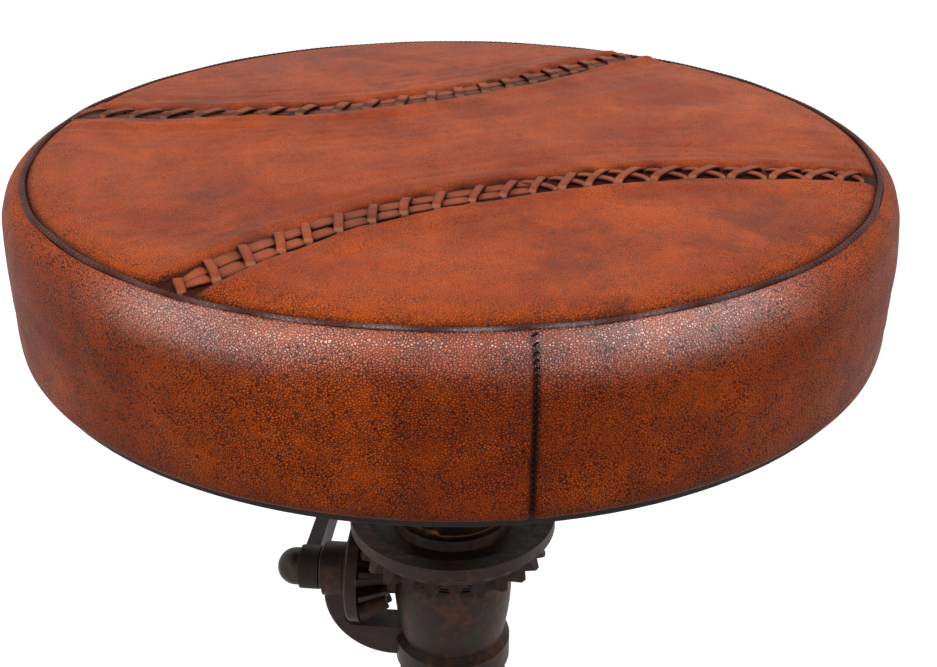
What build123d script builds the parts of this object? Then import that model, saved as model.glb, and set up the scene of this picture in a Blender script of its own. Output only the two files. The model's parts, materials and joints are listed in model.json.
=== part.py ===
"""A work stool with a laced leather seat, raised and lowered by a hand crank.

Millimetres, +Z up. The origin is on the floor under the column, and the seat stands
near the low end of its travel. The crank shaft points to -X and a little to +Y.
"""

import math
import os

from build123d import *

# Whole stool
welt_z = 700.0  # height of the seam round the seat top
travel_down = 35.0
travel_up = 115.0
run_gap = 0.05  # radial gap of a shaft or slide in its bore
rest_gap = 0.3  # gap between curved faces that only lie near each other
fit_gap = 0.02  # radial gap of a pressed or threaded fit
overrun = 3.0  # how far a cut runs past the face that it leaves

# Leather seat
seat_r = 180.0  # where the side band is widest
cover_t = 1.6
welt_inset = 10.0
welt_tube_r = 1.6
welt_sink = 1.0
crown_h = 6.5  # seat top's middle above the seam
dome_edge_w = 12.0  # from where the flat dome turns down to the seam
dome_h = 1.0
panel_turn_h = 0.1
panel_edge_drop = 1.4
band_shoulder_inset = 1.0
band_shoulder_drop = 11.9
band_turn_inset = 3.1
band_turn_drop = 4.4
band_bulge_drop = 35.0
band_foot_inset = 1.2
band_h = 66.0
foot_turn = 2.4
hem_w = 30.0
dust_cover_t = 1.5
band_joint_angle = -81.9  # degrees, where the band's two ends are sewn together
band_joint_w = 1.6
band_joint_depth = 0.9
# Laced seams, as shares of the seam radius: start, through, joint, through, end
front_seam_shares = ((-0.659, -1.000), (-0.230, -0.559), (0.294, -0.321), (0.565, -0.258), (1.094, -0.229))
rear_seam_shares = ((-1.118, 0.271), (-0.647, 0.174), (-0.294, 0.188), (0.118, 0.403), (0.618, 0.912))
panel_overrun = 60.0  # how far the panels' cutting outlines run past the seat
lace_pitch = 14.2
lace_w = 3.6
lace_l = 14.4
lace_t = 1.2
lace_gap = 0.1
lace_edge_w = 17.5
# Seat structure
board_inset = 8.0
board_t = 15.0
plate_inset = 5.0
plate_t = 3.0
seat_bolt_circle_r = 45.0
seat_bolt_r = 4.0
seat_bolt_head_r = 7.2
seat_bolt_head_h = 5.3
seat_bolt_bite = 10.0
seat_bolts = 4
t_nut_r = 5.0
t_nut_flange_r = 9.0
t_nut_flange_t = 1.5
flange_r = 60.0
flange_t = 8.0
flange_boss_r = 24.0
flange_boss_h = 8.0
flange_round = 3.0

# Lift screw and its stops
screw_r = 13.0
screw_core_r = 9.8
screw_pitch = 8.0
crest_share = 0.366
flank_share = 0.134
screw_spigot_l = 15.0
screw_tail = 5.0
keyway_w = 6.0
keyway_floor_r = 10.0
cross_pin_r = 2.5
stop_collar_r = 20.0
stop_collar_h = 12.0
guide_drop = 155.7  # from the gears' pitch plane down to the guide
guide_h = 40.0
guide_key_w = 5.9
guide_key_root_r = 17.0
guide_key_h = 34.0
guide_screw_r = 3.0
guide_screw_head_r = 5.2
guide_screw_head_h = 2.8
guide_screw_bite = 5.0

# Bevel gears: module, teeth and face
module = 3.6
gear_teeth = 24
pinion_teeth = 12
face_w = 14.0
addendum = 2.9
dedendum = 3.6
backlash = 0.5
tooth_sink = 0.8
root_margin = 0.5  # how far the blank's root cone runs past both ends of the teeth
pressure_angle = 20.0
flank_points = 5
gear_drop = 194.3  # from the seat's seam down to the gears' pitch plane
gear_hub_r = 26.5
gear_hub_drop = 10.0
gear_rim_r = 48.0
gear_rim_t = 6.0
gear_top_h = 16.0
gear_rim_w = 7.5
gear_web_sink = 4.0
gear_neck_r = 42.4
gear_neck_h = 4.9
pinion_shroud_r = 24.6
pinion_shroud_gap = 0.6
pinion_back_d = 49.0
pinion_hub_r = 14.0
pinion_front_r = 11.0
pinion_front_d = 31.0
pinion_hub_d = 51.6

# Nut that turns with the gear
nut_sleeve_r = 16.5
nut_top_r = 20.0
nut_flange_r = 25.5
nut_flange_t = 4.0
nut_screw_circle_r = 23.2
nut_screw_r = 1.6
nut_screw_head_r = 2.2
nut_screw_head_h = 1.6
nut_screw_l = 14.0
nut_screws_count = 3
collar_r = 21.4
collar_h = 10.0
collar_gap = 0.5
collar_screw_r = 2.0

# Head casting on the column
head_land_r = 27.0
head_bowl_r = 28.0
head_bowl_drop = 1.7
bowl_waist_r = 27.6
bowl_waist_drop = 22.0
neck_r = 24.6
neck_drop = 40.0
head_skirt_r = 27.8
head_skirt_top_drop = 43.0
head_skirt_drop = 54.7
head_spigot_l = 25.0
bush_t = 2.0
bush_h = 20.0
thrust_washer_t = 1.9
thrust_gap = 0.1
head_screw_r = 2.5
head_screw_head_r = 4.4
head_screw_head_h = 2.4
head_screw_bite = 2.6
head_screws_count = 3
# Bearing arm of the head, in distance along the shaft and height from it
shaft_angle = 6.0  # the shaft leans from -X towards +Y by this many degrees
arm_t = 14.0
arm_root_d = 24.0
arm_foot_h = -44.5
arm_belly_d = 50.0
arm_belly_h = -37.0
arm_toe_h = -13.0
arm_floor_h = -28.0
arm_crook_h = -25.5
arm_crook_d = 49.0
arm_round = 2.0
boss_front_d = 52.0
boss_back_d = 62.0
boss_r = 13.0
inner_boss_r = 10.3
inner_boss_d = 30.6
inner_bore_d = 20.6

# Crank
shaft_r = 6.0
shaft_bush_t = 2.0
shaft_front_d = 20.9
shaft_square = 9.0
shaft_thread_r = 4.0
shaft_thread_l = 6.0
key_w = 4.0
key_front_d = 34.0
key_back_d = 47.0
key_rise = 1.6
crank_washer_t = 1.5
crank_washer_r = 10.5
crank_hub_r = 10.5
crank_hub_t = 10.0
crank_length = 90.0
crank_bar_t = 7.0
crank_bar_root_w = 17.0
crank_bar_tip_w = 13.0
crank_eye_r = 9.5
crank_nut_r = 9.0
crank_nut_base = 2.5
spindle_r = 4.0
spindle_head_r = 6.5
spindle_head_t = 2.5
spindle_cap_t = 4.0
grip_length = 68.0
grip_end_r = 9.0
grip_belly_r = 13.0
grip_neck_r = 8.5
grip_belly_share = 0.62
grip_neck_share = 0.16

# Column, base and foot ring
tube_r = 26.0
tube_wall = 4.0
tube_foot_z = 82.0
hub_bottom_z = 78.0
hub_block_w = 84.0
hub_block_round = 8.0
hub_block_top_z = 196.0
hub_neck_r = 35.0
hub_top_z = 214.0
hub_drain_r = 15.0
set_screw_r = 4.0
set_screw_head_w = 8.0
set_screw_head_h = 6.0
leg_count = 4
leg_flange_t = 9.0
leg_flange_w = 62.0
leg_flange_bottom_z = 88.0
leg_flange_top_z = 190.0
leg_t = 18.0
leg_root_top_z = 186.0
leg_root_bottom_z = 94.0
leg_crook_d = 110.0
leg_crook_top_z = 82.0
leg_crook_bottom_z = 44.0
leg_toe_d = 228.0
leg_toe_top_z = 27.0
leg_tip_l = 18.0  # the foot's reach past the toe's centre
leg_tip_bulge_l = 13.5
leg_tip_bulge_z = 21.0
leg_tip_z = 12.0
leg_heel_l = 22.0
leg_round = 3.0
toe_pad_r = 19.0
toe_pad_h = 12.0
leg_bolt_r = 4.0
leg_bolt_head_r = 7.2
leg_bolt_head_h = 5.5
leg_bolt_bite = 14.0
leg_bolt_side = 21.5
leg_bolt_z = (108.0, 170.0)
glide_r = 17.0
glide_t = 8.0
glide_round = 2.0
glide_recess_r = 5.6
glide_recess_h = 4.5
glide_screw_r = 2.5
glide_screw_head_r = 4.8
glide_screw_head_h = 3.0
glide_screw_bite = 10.0
foot_ring_r = 150.0
foot_ring_z = 232.0
foot_ring_bar_r = 8.0
spoke_r = 6.0
spoke_bite = 8.0
ring_hub_r = 38.0
ring_hub_h = 24.0
ring_hub_round = 3.0

# Heights and places that follow
welt_r = seat_r - welt_inset
dome_r = welt_r - dome_edge_w
dome_radius_sq = dome_r**2
band_shoulder_r = seat_r - band_shoulder_inset
band_turn_r = seat_r - band_turn_inset
band_foot_r = seat_r - band_foot_inset
hem_r = seat_r - hem_w
lace_limit_r = welt_r - lace_edge_w
board_r = seat_r - board_inset
plate_r = seat_r - plate_inset
band_foot_z = welt_z - band_h
hem_top_z = band_foot_z + cover_t
board_top_z = hem_top_z + board_t
plate_bottom_z = band_foot_z - plate_t
flange_bottom_z = plate_bottom_z - flange_t
flange_boss_z = flange_bottom_z - flange_boss_h
panel_reach = seat_r + panel_overrun
gear_pitch_z = welt_z - gear_drop
guide_bottom_z = gear_pitch_z - guide_drop
stop_top_z = guide_bottom_z - travel_up
leg_tip_d = leg_toe_d + leg_tip_l
leg_tip_bulge_d = leg_toe_d + leg_tip_bulge_l
leg_heel_d = leg_toe_d - leg_heel_l
screw_bottom_z = stop_top_z - stop_collar_h - screw_tail
gear_pitch_r = module * gear_teeth / 2
pinion_pitch_r = module * pinion_teeth / 2
shaft_z = gear_pitch_z - pinion_pitch_r
gear_hub_z = gear_pitch_z - gear_hub_drop
gear_top_z = gear_pitch_z + gear_top_h
gear_web_z = gear_top_z - gear_web_sink
washer_top_z = gear_hub_z - thrust_gap
head_top_z = washer_top_z - thrust_washer_t
skirt_bottom_z = head_top_z - head_skirt_drop
spigot_bottom_z = skirt_bottom_z - head_spigot_l
nut_bottom_z = spigot_bottom_z - collar_gap - collar_h
nut_bore_r = screw_r + run_gap
bush_bore_r = nut_sleeve_r + run_gap
head_bore_r = bush_bore_r + bush_t
tube_bore_r = tube_r - tube_wall
spigot_r = tube_bore_r - run_gap
guide_top_z = guide_bottom_z + guide_h
shaft_bore_r = shaft_r + run_gap
shaft_seat_r = shaft_bore_r + shaft_bush_t
shaft_thread_d = boss_back_d + fit_gap * 5 + crank_washer_t + crank_hub_t
crank_hub_d = boss_back_d + fit_gap * 5 + crank_washer_t + rest_gap
pitch_cone = math.atan2(gear_teeth, pinion_teeth)
cone_l = math.hypot(gear_pitch_r, pinion_pitch_r)
small_end_share = 1 - face_w / cone_l
root_inner_share = small_end_share - root_margin / cone_l
root_outer_share = 1 + root_margin / cone_l
shaft_dir = Vector(-math.cos(math.radians(shaft_angle)), math.sin(math.radians(shaft_angle)), 0)
crank_dir = Vector(math.sin(math.radians(shaft_angle)), math.cos(math.radians(shaft_angle)), 0)
apex = Vector(0, 0, shaft_z)
leg_angles = [45 + 360 / leg_count * k for k in range(leg_count)]
hub_flat = hub_block_w / 2
leg_face_d = hub_flat + leg_flange_t
leg_root_d = hub_flat + leg_flange_t / 2
quarter = math.sqrt(0.5)


def draw(start, steps):
    """Draws a closed outline: a step is its end point, or a point to pass and its end point."""
    here = start
    for step in steps:
        if isinstance(step[0], tuple):
            ThreePointArc(here, step[0], step[1])
            here = step[1]
        else:
            Line(here, step)
            here = step
    Line(here, start)


def ring(start, steps):
    """Turns an outline of (radius, height) about the column axis, in the current part."""
    with BuildSketch(Plane.XZ) as outline:
        with BuildLine():
            draw(start, steps)
        make_face()
    revolve(outline.sketch, axis=Axis.Z)


def disc(radius, bottom_z, top_z, mode=Mode.ADD):
    """A round slab about the column axis, in the current part."""
    with BuildSketch(Plane.XY.offset(bottom_z)) as outline:
        Circle(radius)
    extrude(outline.sketch, amount=top_z - bottom_z, mode=mode)


def tube(outer_r, inner_r, bottom_z, top_z):
    """A round sleeve about the column axis, in the current part."""
    with BuildSketch(Plane.XY.offset(bottom_z)) as outline:
        Circle(outer_r)
        Circle(inner_r, mode=Mode.SUBTRACT)
    extrude(outline.sketch, amount=top_z - bottom_z)


def shaft_plane(distance, side=0.0):
    """The plane square to the crank shaft at a distance from the column axis."""
    return Plane(origin=apex + shaft_dir * distance + crank_dir * side, x_dir=crank_dir, z_dir=shaft_dir)


def shaft_disc(radius, front_d, back_d, side=0.0, mode=Mode.ADD):
    """A round slab on the crank shaft, from one distance to another, in the current part."""
    with BuildSketch(shaft_plane(front_d, side)) as outline:
        Circle(radius)
    extrude(outline.sketch, amount=back_d - front_d, mode=mode)


def radial_plane(angle, distance, height):
    """A plane that faces out from the column axis at an angle in degrees."""
    out = Vector(math.cos(math.radians(angle)), math.sin(math.radians(angle)), 0)
    return Plane(origin=out * distance + Vector(0, 0, height), x_dir=(-out.Y, out.X, 0), z_dir=out)


def radial_rod(radius, angle, from_d, to_d, height, mode=Mode.ADD):
    """A round rod that points out from the column axis, in the current part."""
    with BuildSketch(radial_plane(angle, from_d, height)) as outline:
        Circle(radius)
    extrude(outline.sketch, amount=to_d - from_d, mode=mode)


def save(part, label):
    """Labels a finished piece and writes it as its own file."""
    part.part.label = label
    export_step(part.part, "parts/" + label + ".step")


os.makedirs("parts", exist_ok=True)


# Leather cover: three top panels, one side band, and the rolled seam between them
def dome_z(radius):
    """Height of the seat top's outer face inside the dome."""
    return welt_z + crown_h - (crown_h - dome_h) * radius**2 / dome_radius_sq


panel_edge_r = welt_r - welt_tube_r - lace_gap
panel_edge_z = welt_z - panel_edge_drop
panel_turn_r = (dome_r + panel_edge_r * 2) / 3


def seam_points(shares):
    """The five points of a laced seam, in millimetres."""
    return [(x * welt_r, y * welt_r) for x, y in shares]


def draw_seam(points):
    """The two arcs of a laced seam, in the current line."""
    ThreePointArc(*points[:3])
    ThreePointArc(*points[2:])


front_seam = seam_points(front_seam_shares)
rear_seam = seam_points(rear_seam_shares)
front_right = (panel_reach, front_seam[-1][1])
front_left = (front_seam[0][0], -panel_reach)
rear_right = (rear_seam[-1][0], panel_reach)
rear_left = (-panel_reach, rear_seam[0][1])
front_outside = [front_right, (panel_reach, -panel_reach), front_left]
rear_outside = [rear_right, (-panel_reach, panel_reach), rear_left]
middle_right = [front_right, (panel_reach, panel_reach), rear_right]
middle_left = [rear_left, (-panel_reach, -panel_reach), front_left]


def whole_top():
    """The top's leather before it is cut into panels, in the current part."""
    inner_dome_h = dome_h - cover_t
    ring(
        (0, welt_z + crown_h),
        [
            ((dome_r / 2, dome_z(dome_r / 2)), (dome_r, welt_z + dome_h)),
            ((panel_turn_r, welt_z + panel_turn_h), (panel_edge_r, panel_edge_z)),
            (panel_edge_r - cover_t, panel_edge_z),
            ((panel_turn_r - cover_t, welt_z + panel_turn_h - cover_t), (dome_r, welt_z + inner_dome_h)),
            ((dome_r / 2, dome_z(dome_r / 2) - cover_t), (0, welt_z + crown_h - cover_t)),
        ],
    )


def keep_inside(corner_lists, seams):
    """Keeps only what lies over the region that seams and corners close, in the current part."""
    with BuildSketch(Plane.XY.offset(welt_z - crown_h)) as outline:
        with BuildLine():
            for seam in seams:
                draw_seam(seam)
            for corners in corner_lists:
                Polyline(*corners)
        make_face()
    extrude(outline.sketch, amount=crown_h * 3, mode=Mode.INTERSECT)


with BuildPart() as top_panel_front:
    whole_top()
    keep_inside([[front_seam[-1], *front_outside, front_seam[0]]], [front_seam])

with BuildPart() as top_panel_rear:
    whole_top()
    keep_inside([[rear_seam[-1], *rear_outside, rear_seam[0]]], [rear_seam])

with BuildPart() as top_panel_middle:
    whole_top()
    keep_inside(
        [[front_seam[-1], *middle_right, rear_seam[-1]], [rear_seam[0], *middle_left, front_seam[0]]],
        [front_seam, rear_seam],
    )

band_edge_r = welt_r + welt_tube_r + lace_gap
foot_mid = foot_turn * (1 - quarter)
foot_inner_mid = (foot_turn - cover_t) * (1 - quarter)
band_inner_foot_r = band_foot_r - cover_t
with BuildPart() as side_band:
    ring(
        (band_edge_r, panel_edge_z),
        [
            ((band_turn_r, welt_z - band_turn_drop), (band_shoulder_r, welt_z - band_shoulder_drop)),
            ((seat_r, welt_z - band_bulge_drop), (band_foot_r, band_foot_z + foot_turn)),
            ((band_foot_r - foot_mid, band_foot_z + foot_mid), (band_foot_r - foot_turn, band_foot_z)),
            (hem_r, band_foot_z),
            (hem_r, hem_top_z),
            (band_foot_r - foot_turn, hem_top_z),
            (
                (band_inner_foot_r - foot_inner_mid, hem_top_z + foot_inner_mid),
                (band_inner_foot_r, band_foot_z + foot_turn),
            ),
            (
                (seat_r - cover_t, welt_z - band_bulge_drop),
                (band_shoulder_r - cover_t, welt_z - band_shoulder_drop),
            ),
            (
                (band_turn_r - cover_t, welt_z - band_turn_drop - cover_t),
                (band_edge_r, panel_edge_z - cover_t),
            ),
        ],
    )

    with BuildSketch(radial_plane(band_joint_angle, seat_r - band_joint_depth, welt_z - band_h / 2)):
        Rectangle(band_joint_w, band_h)
    extrude(amount=band_joint_depth + overrun, mode=Mode.SUBTRACT)

with BuildPart() as seat_welt:
    with BuildSketch(Plane.XZ):
        with Locations((welt_r, welt_z - welt_sink)):
            Circle(welt_tube_r)
    revolve(axis=Axis.Z)


def lace_planes(points):
    """Planes along a seam, one for each lace, with X along the seam."""
    with BuildLine() as seam:
        draw_seam(points)
    path = seam.wires()[0]
    count = round(path.length / lace_pitch)
    planes = []
    for k in range(count + 1):
        place = path.position_at(k / count)
        radius = math.hypot(place.X, place.Y)
        if radius < lace_limit_r:
            origin = (place.X, place.Y, dome_z(max(radius - lace_l / 2, 0)) + lace_gap)
            planes.append(Plane(origin=origin, x_dir=path.tangent_at(k / count), z_dir=(0, 0, 1)))
    return planes


with BuildPart() as front_lacing:
    with BuildSketch(*lace_planes(front_seam)):
        RectangleRounded(lace_w, lace_l, lace_w / 4)
    extrude(amount=lace_t)

with BuildPart() as rear_lacing:
    with BuildSketch(*lace_planes(rear_seam)):
        RectangleRounded(lace_w, lace_l, lace_w / 4)
    extrude(amount=lace_t)

# Inside the cover: the foam, the board, its nuts and the cloth below it
foam_in = cover_t + rest_gap
welt_floor_z = welt_z - welt_sink - welt_tube_r - rest_gap
board_edge_r = board_r + rest_gap
with BuildPart() as foam_pad:
    ring(
        (0, welt_z + crown_h - foam_in),
        [
            ((dome_r / 2, dome_z(dome_r / 2) - foam_in), (dome_r, welt_z + dome_h - foam_in)),
            (panel_edge_r - foam_in - cover_t, welt_floor_z - cover_t),
            (band_edge_r, welt_floor_z - cover_t * 2),
            (band_shoulder_r - foam_in - cover_t / 2, welt_z - band_shoulder_drop),
            (
                (seat_r - foam_in, welt_z - band_bulge_drop),
                (band_foot_r - foam_in - cover_t / 2, hem_top_z + foot_turn),
            ),
            (board_edge_r, hem_top_z + rest_gap),
            (board_edge_r, board_top_z + rest_gap),
            (0, board_top_z + rest_gap),
        ],
    )

with BuildPart() as seat_board:
    disc(board_r, hem_top_z, board_top_z)
    with PolarLocations(seat_bolt_circle_r, seat_bolts, start_angle=45):
        with Locations((0, 0, board_top_z)):
            CounterBoreHole(t_nut_r + fit_gap, t_nut_flange_r + rest_gap, t_nut_flange_t)

with BuildPart() as t_nuts:
    with BuildSketch(Plane.XY.offset(board_top_z - t_nut_flange_t)):
        with PolarLocations(seat_bolt_circle_r, seat_bolts, start_angle=45):
            Circle(t_nut_flange_r)
    extrude(amount=t_nut_flange_t - rest_gap)
    with BuildSketch(Plane.XY.offset(hem_top_z)):
        with PolarLocations(seat_bolt_circle_r, seat_bolts, start_angle=45):
            Circle(t_nut_r)
    extrude(amount=board_t - t_nut_flange_t)
    with BuildSketch(Plane.XY.offset(hem_top_z)):
        with PolarLocations(seat_bolt_circle_r, seat_bolts, start_angle=45):
            Circle(seat_bolt_r + fit_gap)
    extrude(amount=board_t, mode=Mode.SUBTRACT)

with BuildPart() as dust_cover:
    disc(hem_r - rest_gap, hem_top_z - dust_cover_t, hem_top_z)
    with BuildSketch(Plane.XY.offset(band_foot_z)):
        with PolarLocations(seat_bolt_circle_r, seat_bolts, start_angle=45):
            Circle(seat_bolt_r + rest_gap)
    extrude(amount=cover_t, mode=Mode.SUBTRACT)

# Under the seat: the plate, the cast flange and its bolts
with BuildPart() as base_plate:
    disc(plate_r, plate_bottom_z, band_foot_z)
    with BuildSketch(Plane.XY.offset(plate_bottom_z)):
        with PolarLocations(seat_bolt_circle_r, seat_bolts, start_angle=45):
            Circle(seat_bolt_r + rest_gap)
    extrude(amount=plate_t, mode=Mode.SUBTRACT)

screw_pin_z = flange_bottom_z - flange_t / 2
stop_pin_z = stop_top_z - stop_collar_h / 2
with BuildPart() as seat_flange:
    disc(flange_r, flange_bottom_z, plate_bottom_z)
    disc(flange_boss_r, flange_boss_z, flange_bottom_z)
    rims = seat_flange.edges().filter_by(GeomType.CIRCLE)
    fillet([e for e in rims if e.center().Z < plate_bottom_z - flange_t / 2], flange_round)
    disc(screw_core_r + fit_gap, flange_boss_z, plate_bottom_z, mode=Mode.SUBTRACT)
    with BuildSketch(Plane.XY.offset(flange_bottom_z)):
        with PolarLocations(seat_bolt_circle_r, seat_bolts, start_angle=45):
            Circle(seat_bolt_r + rest_gap)
    extrude(amount=flange_t, mode=Mode.SUBTRACT)
    radial_rod(cross_pin_r + fit_gap, 0, -flange_boss_r, flange_boss_r, screw_pin_z, Mode.SUBTRACT)

with BuildPart() as flange_bolts:
    with BuildSketch(Plane.XY.offset(flange_bottom_z - seat_bolt_head_h)):
        with PolarLocations(seat_bolt_circle_r, seat_bolts, start_angle=45):
            RegularPolygon(seat_bolt_head_r, 6)
    extrude(amount=seat_bolt_head_h)
    with BuildSketch(Plane.XY.offset(flange_bottom_z)):
        with PolarLocations(seat_bolt_circle_r, seat_bolts, start_angle=45):
            Circle(seat_bolt_r)
    extrude(amount=hem_top_z - flange_bottom_z + seat_bolt_bite)

# Lift screw: ridged all along, with a keyway at the back
ridge_count = math.floor((flange_boss_z - stop_top_z) / screw_pitch)
crest = screw_pitch * crest_share
flank = screw_pitch * flank_share
with BuildPart() as lift_screw:
    ridge_outline = []
    for k in range(ridge_count):
        top = flange_boss_z - k * screw_pitch
        ridge_outline.append((screw_r, top))
        ridge_outline.append((screw_r, top - crest))
        ridge_outline.append((screw_core_r, top - crest - flank))
        ridge_outline.append((screw_core_r, top - screw_pitch + flank))
    ring(
        (0, flange_boss_z + screw_spigot_l),
        [
            (screw_core_r, flange_boss_z + screw_spigot_l),
            (screw_core_r, flange_boss_z),
            *ridge_outline,
            (screw_core_r, screw_bottom_z),
            (0, screw_bottom_z),
        ],
    )
    with BuildSketch(Plane.XY.offset(screw_bottom_z)):
        with Locations((0, keyway_floor_r + screw_r / 2)):
            Rectangle(keyway_w, screw_r)
    extrude(amount=flange_boss_z - crest - screw_bottom_z, mode=Mode.SUBTRACT)
    for height in (screw_pin_z, stop_pin_z):
        radial_rod(cross_pin_r + fit_gap, 0, -screw_r, screw_r, height, Mode.SUBTRACT)

with BuildPart() as screw_pin:
    radial_rod(cross_pin_r, 0, rest_gap - flange_boss_r, flange_boss_r - rest_gap, screw_pin_z)

with BuildPart() as stop_collar:
    tube(stop_collar_r, screw_core_r + fit_gap, stop_top_z - stop_collar_h, stop_top_z)
    radial_rod(cross_pin_r + fit_gap, 0, -stop_collar_r, stop_collar_r, stop_pin_z, Mode.SUBTRACT)

with BuildPart() as stop_pin:
    radial_rod(cross_pin_r, 0, rest_gap - stop_collar_r, stop_collar_r - rest_gap, stop_pin_z)


# Bevel gears: involute flanks on the back cone, tapered to the cones' common point
def tooth_outline(pitch_r, cone_angle):
    """Half breadths and heights of one tooth at its large end, from root to tip and back."""
    virtual_r = pitch_r / math.cos(cone_angle)
    base_r = virtual_r * math.cos(math.radians(pressure_angle))
    half_pitch_angle = (math.pi * module / 2 - backlash) / 2 / virtual_r
    involute_at_pitch = math.tan(math.radians(pressure_angle)) - math.radians(pressure_angle)
    low_r = max(base_r, virtual_r - dedendum)
    high_r = virtual_r + addendum
    flank_side = []
    for k in range(flank_points):
        radius = low_r + (high_r - low_r) * k / (flank_points - 1)
        roll = math.acos(base_r / radius)
        angle = half_pitch_angle + involute_at_pitch - (math.tan(roll) - roll)
        flank_side.append((radius * math.sin(angle), radius * math.cos(angle) - virtual_r))
    foot = (flank_side[0][0], -dedendum - tooth_sink)
    right = [foot, *flank_side]
    return right + [(-x, y) for x, y in reversed(right)]


def tooth_solid(pitch_r, cone_angle, plane_at):
    """One tooth, from its large end to its small end, in the current part."""
    corners = tooth_outline(pitch_r, cone_angle)
    ends = []
    for share in (1.0, small_end_share):
        with BuildSketch(plane_at(share)) as end:
            Polygon(*[(x * share, y * share) for x, y in corners], align=None)
        ends.append(end.sketch)
    loft(ends, ruled=True)


def gear_tooth_plane(share):
    """Tooth end plane of the gear at a share of the cone length, on the +X side."""
    origin = (gear_pitch_r * share, 0, shaft_z + pinion_pitch_r * share)
    return Plane(origin=origin, x_dir=(0, -1, 0), z_dir=(math.sin(pitch_cone), 0, math.cos(pitch_cone)))


def pinion_tooth_plane(share):
    """Tooth end plane of the pinion at a share of the cone length, on its upper side."""
    origin = apex + shaft_dir * (gear_pitch_r * share) + Vector(0, 0, pinion_pitch_r * share)
    out = shaft_dir * math.sin(pitch_cone) + Vector(0, 0, math.cos(pitch_cone))
    return Plane(origin=origin, x_dir=crank_dir * -1, z_dir=out)


def cone_point(pitch_share, height):
    """Distance from the column axis and height from the pitch plane, for a height above the pitch line."""
    along = gear_pitch_r * pitch_share + height * math.cos(pitch_cone)
    return along, pinion_pitch_r * (pitch_share - 1) - height * math.sin(pitch_cone)


gear_root = cone_point(root_outer_share, -dedendum * root_outer_share)
gear_root_small = cone_point(root_inner_share, -dedendum * root_inner_share)
with BuildPart() as gear_tooth:
    tooth_solid(gear_pitch_r, pitch_cone, gear_tooth_plane)

gear_phase = 180 - shaft_angle + 180 / gear_teeth
with BuildPart() as bevel_gear:
    ring(
        (nut_top_r + fit_gap, gear_hub_z),
        [
            (gear_hub_r, gear_hub_z),
            (gear_hub_r, gear_pitch_z + gear_root_small[1]),
            (gear_root_small[0], gear_pitch_z + gear_root_small[1]),
            (gear_root[0], gear_pitch_z + gear_root[1]),
            (gear_neck_r, gear_pitch_z + gear_neck_h),
            (gear_rim_r, gear_top_z - gear_rim_t),
            (gear_rim_r, gear_top_z),
            (gear_rim_r - gear_rim_w, gear_top_z),
            (gear_rim_r - gear_rim_w - gear_web_sink / 2, gear_web_z),
            (gear_hub_r + gear_web_sink / 2, gear_web_z),
            (gear_hub_r, gear_top_z),
            (nut_top_r + fit_gap, gear_top_z),
        ],
    )
    with PolarLocations(0, gear_teeth, start_angle=gear_phase):
        add(gear_tooth.part)
    with BuildSketch(Plane.XY.offset(gear_top_z)):
        with PolarLocations(nut_screw_circle_r, nut_screws_count):
            Circle(nut_screw_r + fit_gap)
    extrude(amount=-nut_screw_l, mode=Mode.SUBTRACT)

collar_screw_angles = (0, 180)
collar_screw_z = nut_bottom_z + collar_h / 2
with BuildPart() as lift_nut:
    ring(
        (nut_bore_r, nut_bottom_z),
        [
            (nut_sleeve_r, nut_bottom_z),
            (nut_sleeve_r, gear_hub_z),
            (nut_top_r, gear_hub_z),
            (nut_top_r, gear_top_z),
            (nut_flange_r, gear_top_z),
            (nut_flange_r, gear_top_z + nut_flange_t),
            (nut_bore_r, gear_top_z + nut_flange_t),
        ],
    )
    with BuildSketch(Plane.XY.offset(gear_top_z + nut_flange_t)):
        with PolarLocations(nut_screw_circle_r, nut_screws_count):
            Circle(nut_screw_r + fit_gap)
    extrude(amount=-nut_flange_t, mode=Mode.SUBTRACT)
    for angle in collar_screw_angles:
        radial_rod(collar_screw_r + fit_gap, angle, 0, nut_top_r, collar_screw_z, Mode.SUBTRACT)

with BuildPart() as nut_screws:
    with BuildSketch(Plane.XY.offset(gear_top_z + nut_flange_t)):
        with PolarLocations(nut_screw_circle_r, nut_screws_count):
            Circle(nut_screw_head_r)
    extrude(amount=nut_screw_head_h)
    with BuildSketch(Plane.XY.offset(gear_top_z + nut_flange_t)):
        with PolarLocations(nut_screw_circle_r, nut_screws_count):
            Circle(nut_screw_r)
    extrude(amount=rest_gap - nut_screw_l)

with BuildPart() as retaining_collar:
    tube(collar_r, nut_sleeve_r + fit_gap, nut_bottom_z, nut_bottom_z + collar_h)
    for angle in collar_screw_angles:
        radial_rod(collar_screw_r + fit_gap, angle, 0, collar_r + overrun, collar_screw_z, Mode.SUBTRACT)

with BuildPart() as collar_screws:
    for angle in collar_screw_angles:
        radial_rod(collar_screw_r, angle, nut_bore_r + rest_gap, collar_r - rest_gap, collar_screw_z)

pinion_phase_plane = Plane(origin=apex, x_dir=shaft_dir, z_dir=(shaft_dir.Y, -shaft_dir.X, 0))
root_d = gear_pitch_r + dedendum * math.cos(pitch_cone)
root_h = pinion_pitch_r - dedendum * math.sin(pitch_cone)
root_back_h = root_h * root_outer_share
shroud_foot_d = root_d * root_outer_share + pinion_shroud_gap
shroud_front_d = shroud_foot_d - (pinion_shroud_r - root_back_h) / math.tan(pitch_cone)
with BuildPart() as pinion_tooth:
    tooth_solid(pinion_pitch_r, math.pi / 2 - pitch_cone, pinion_tooth_plane)

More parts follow.
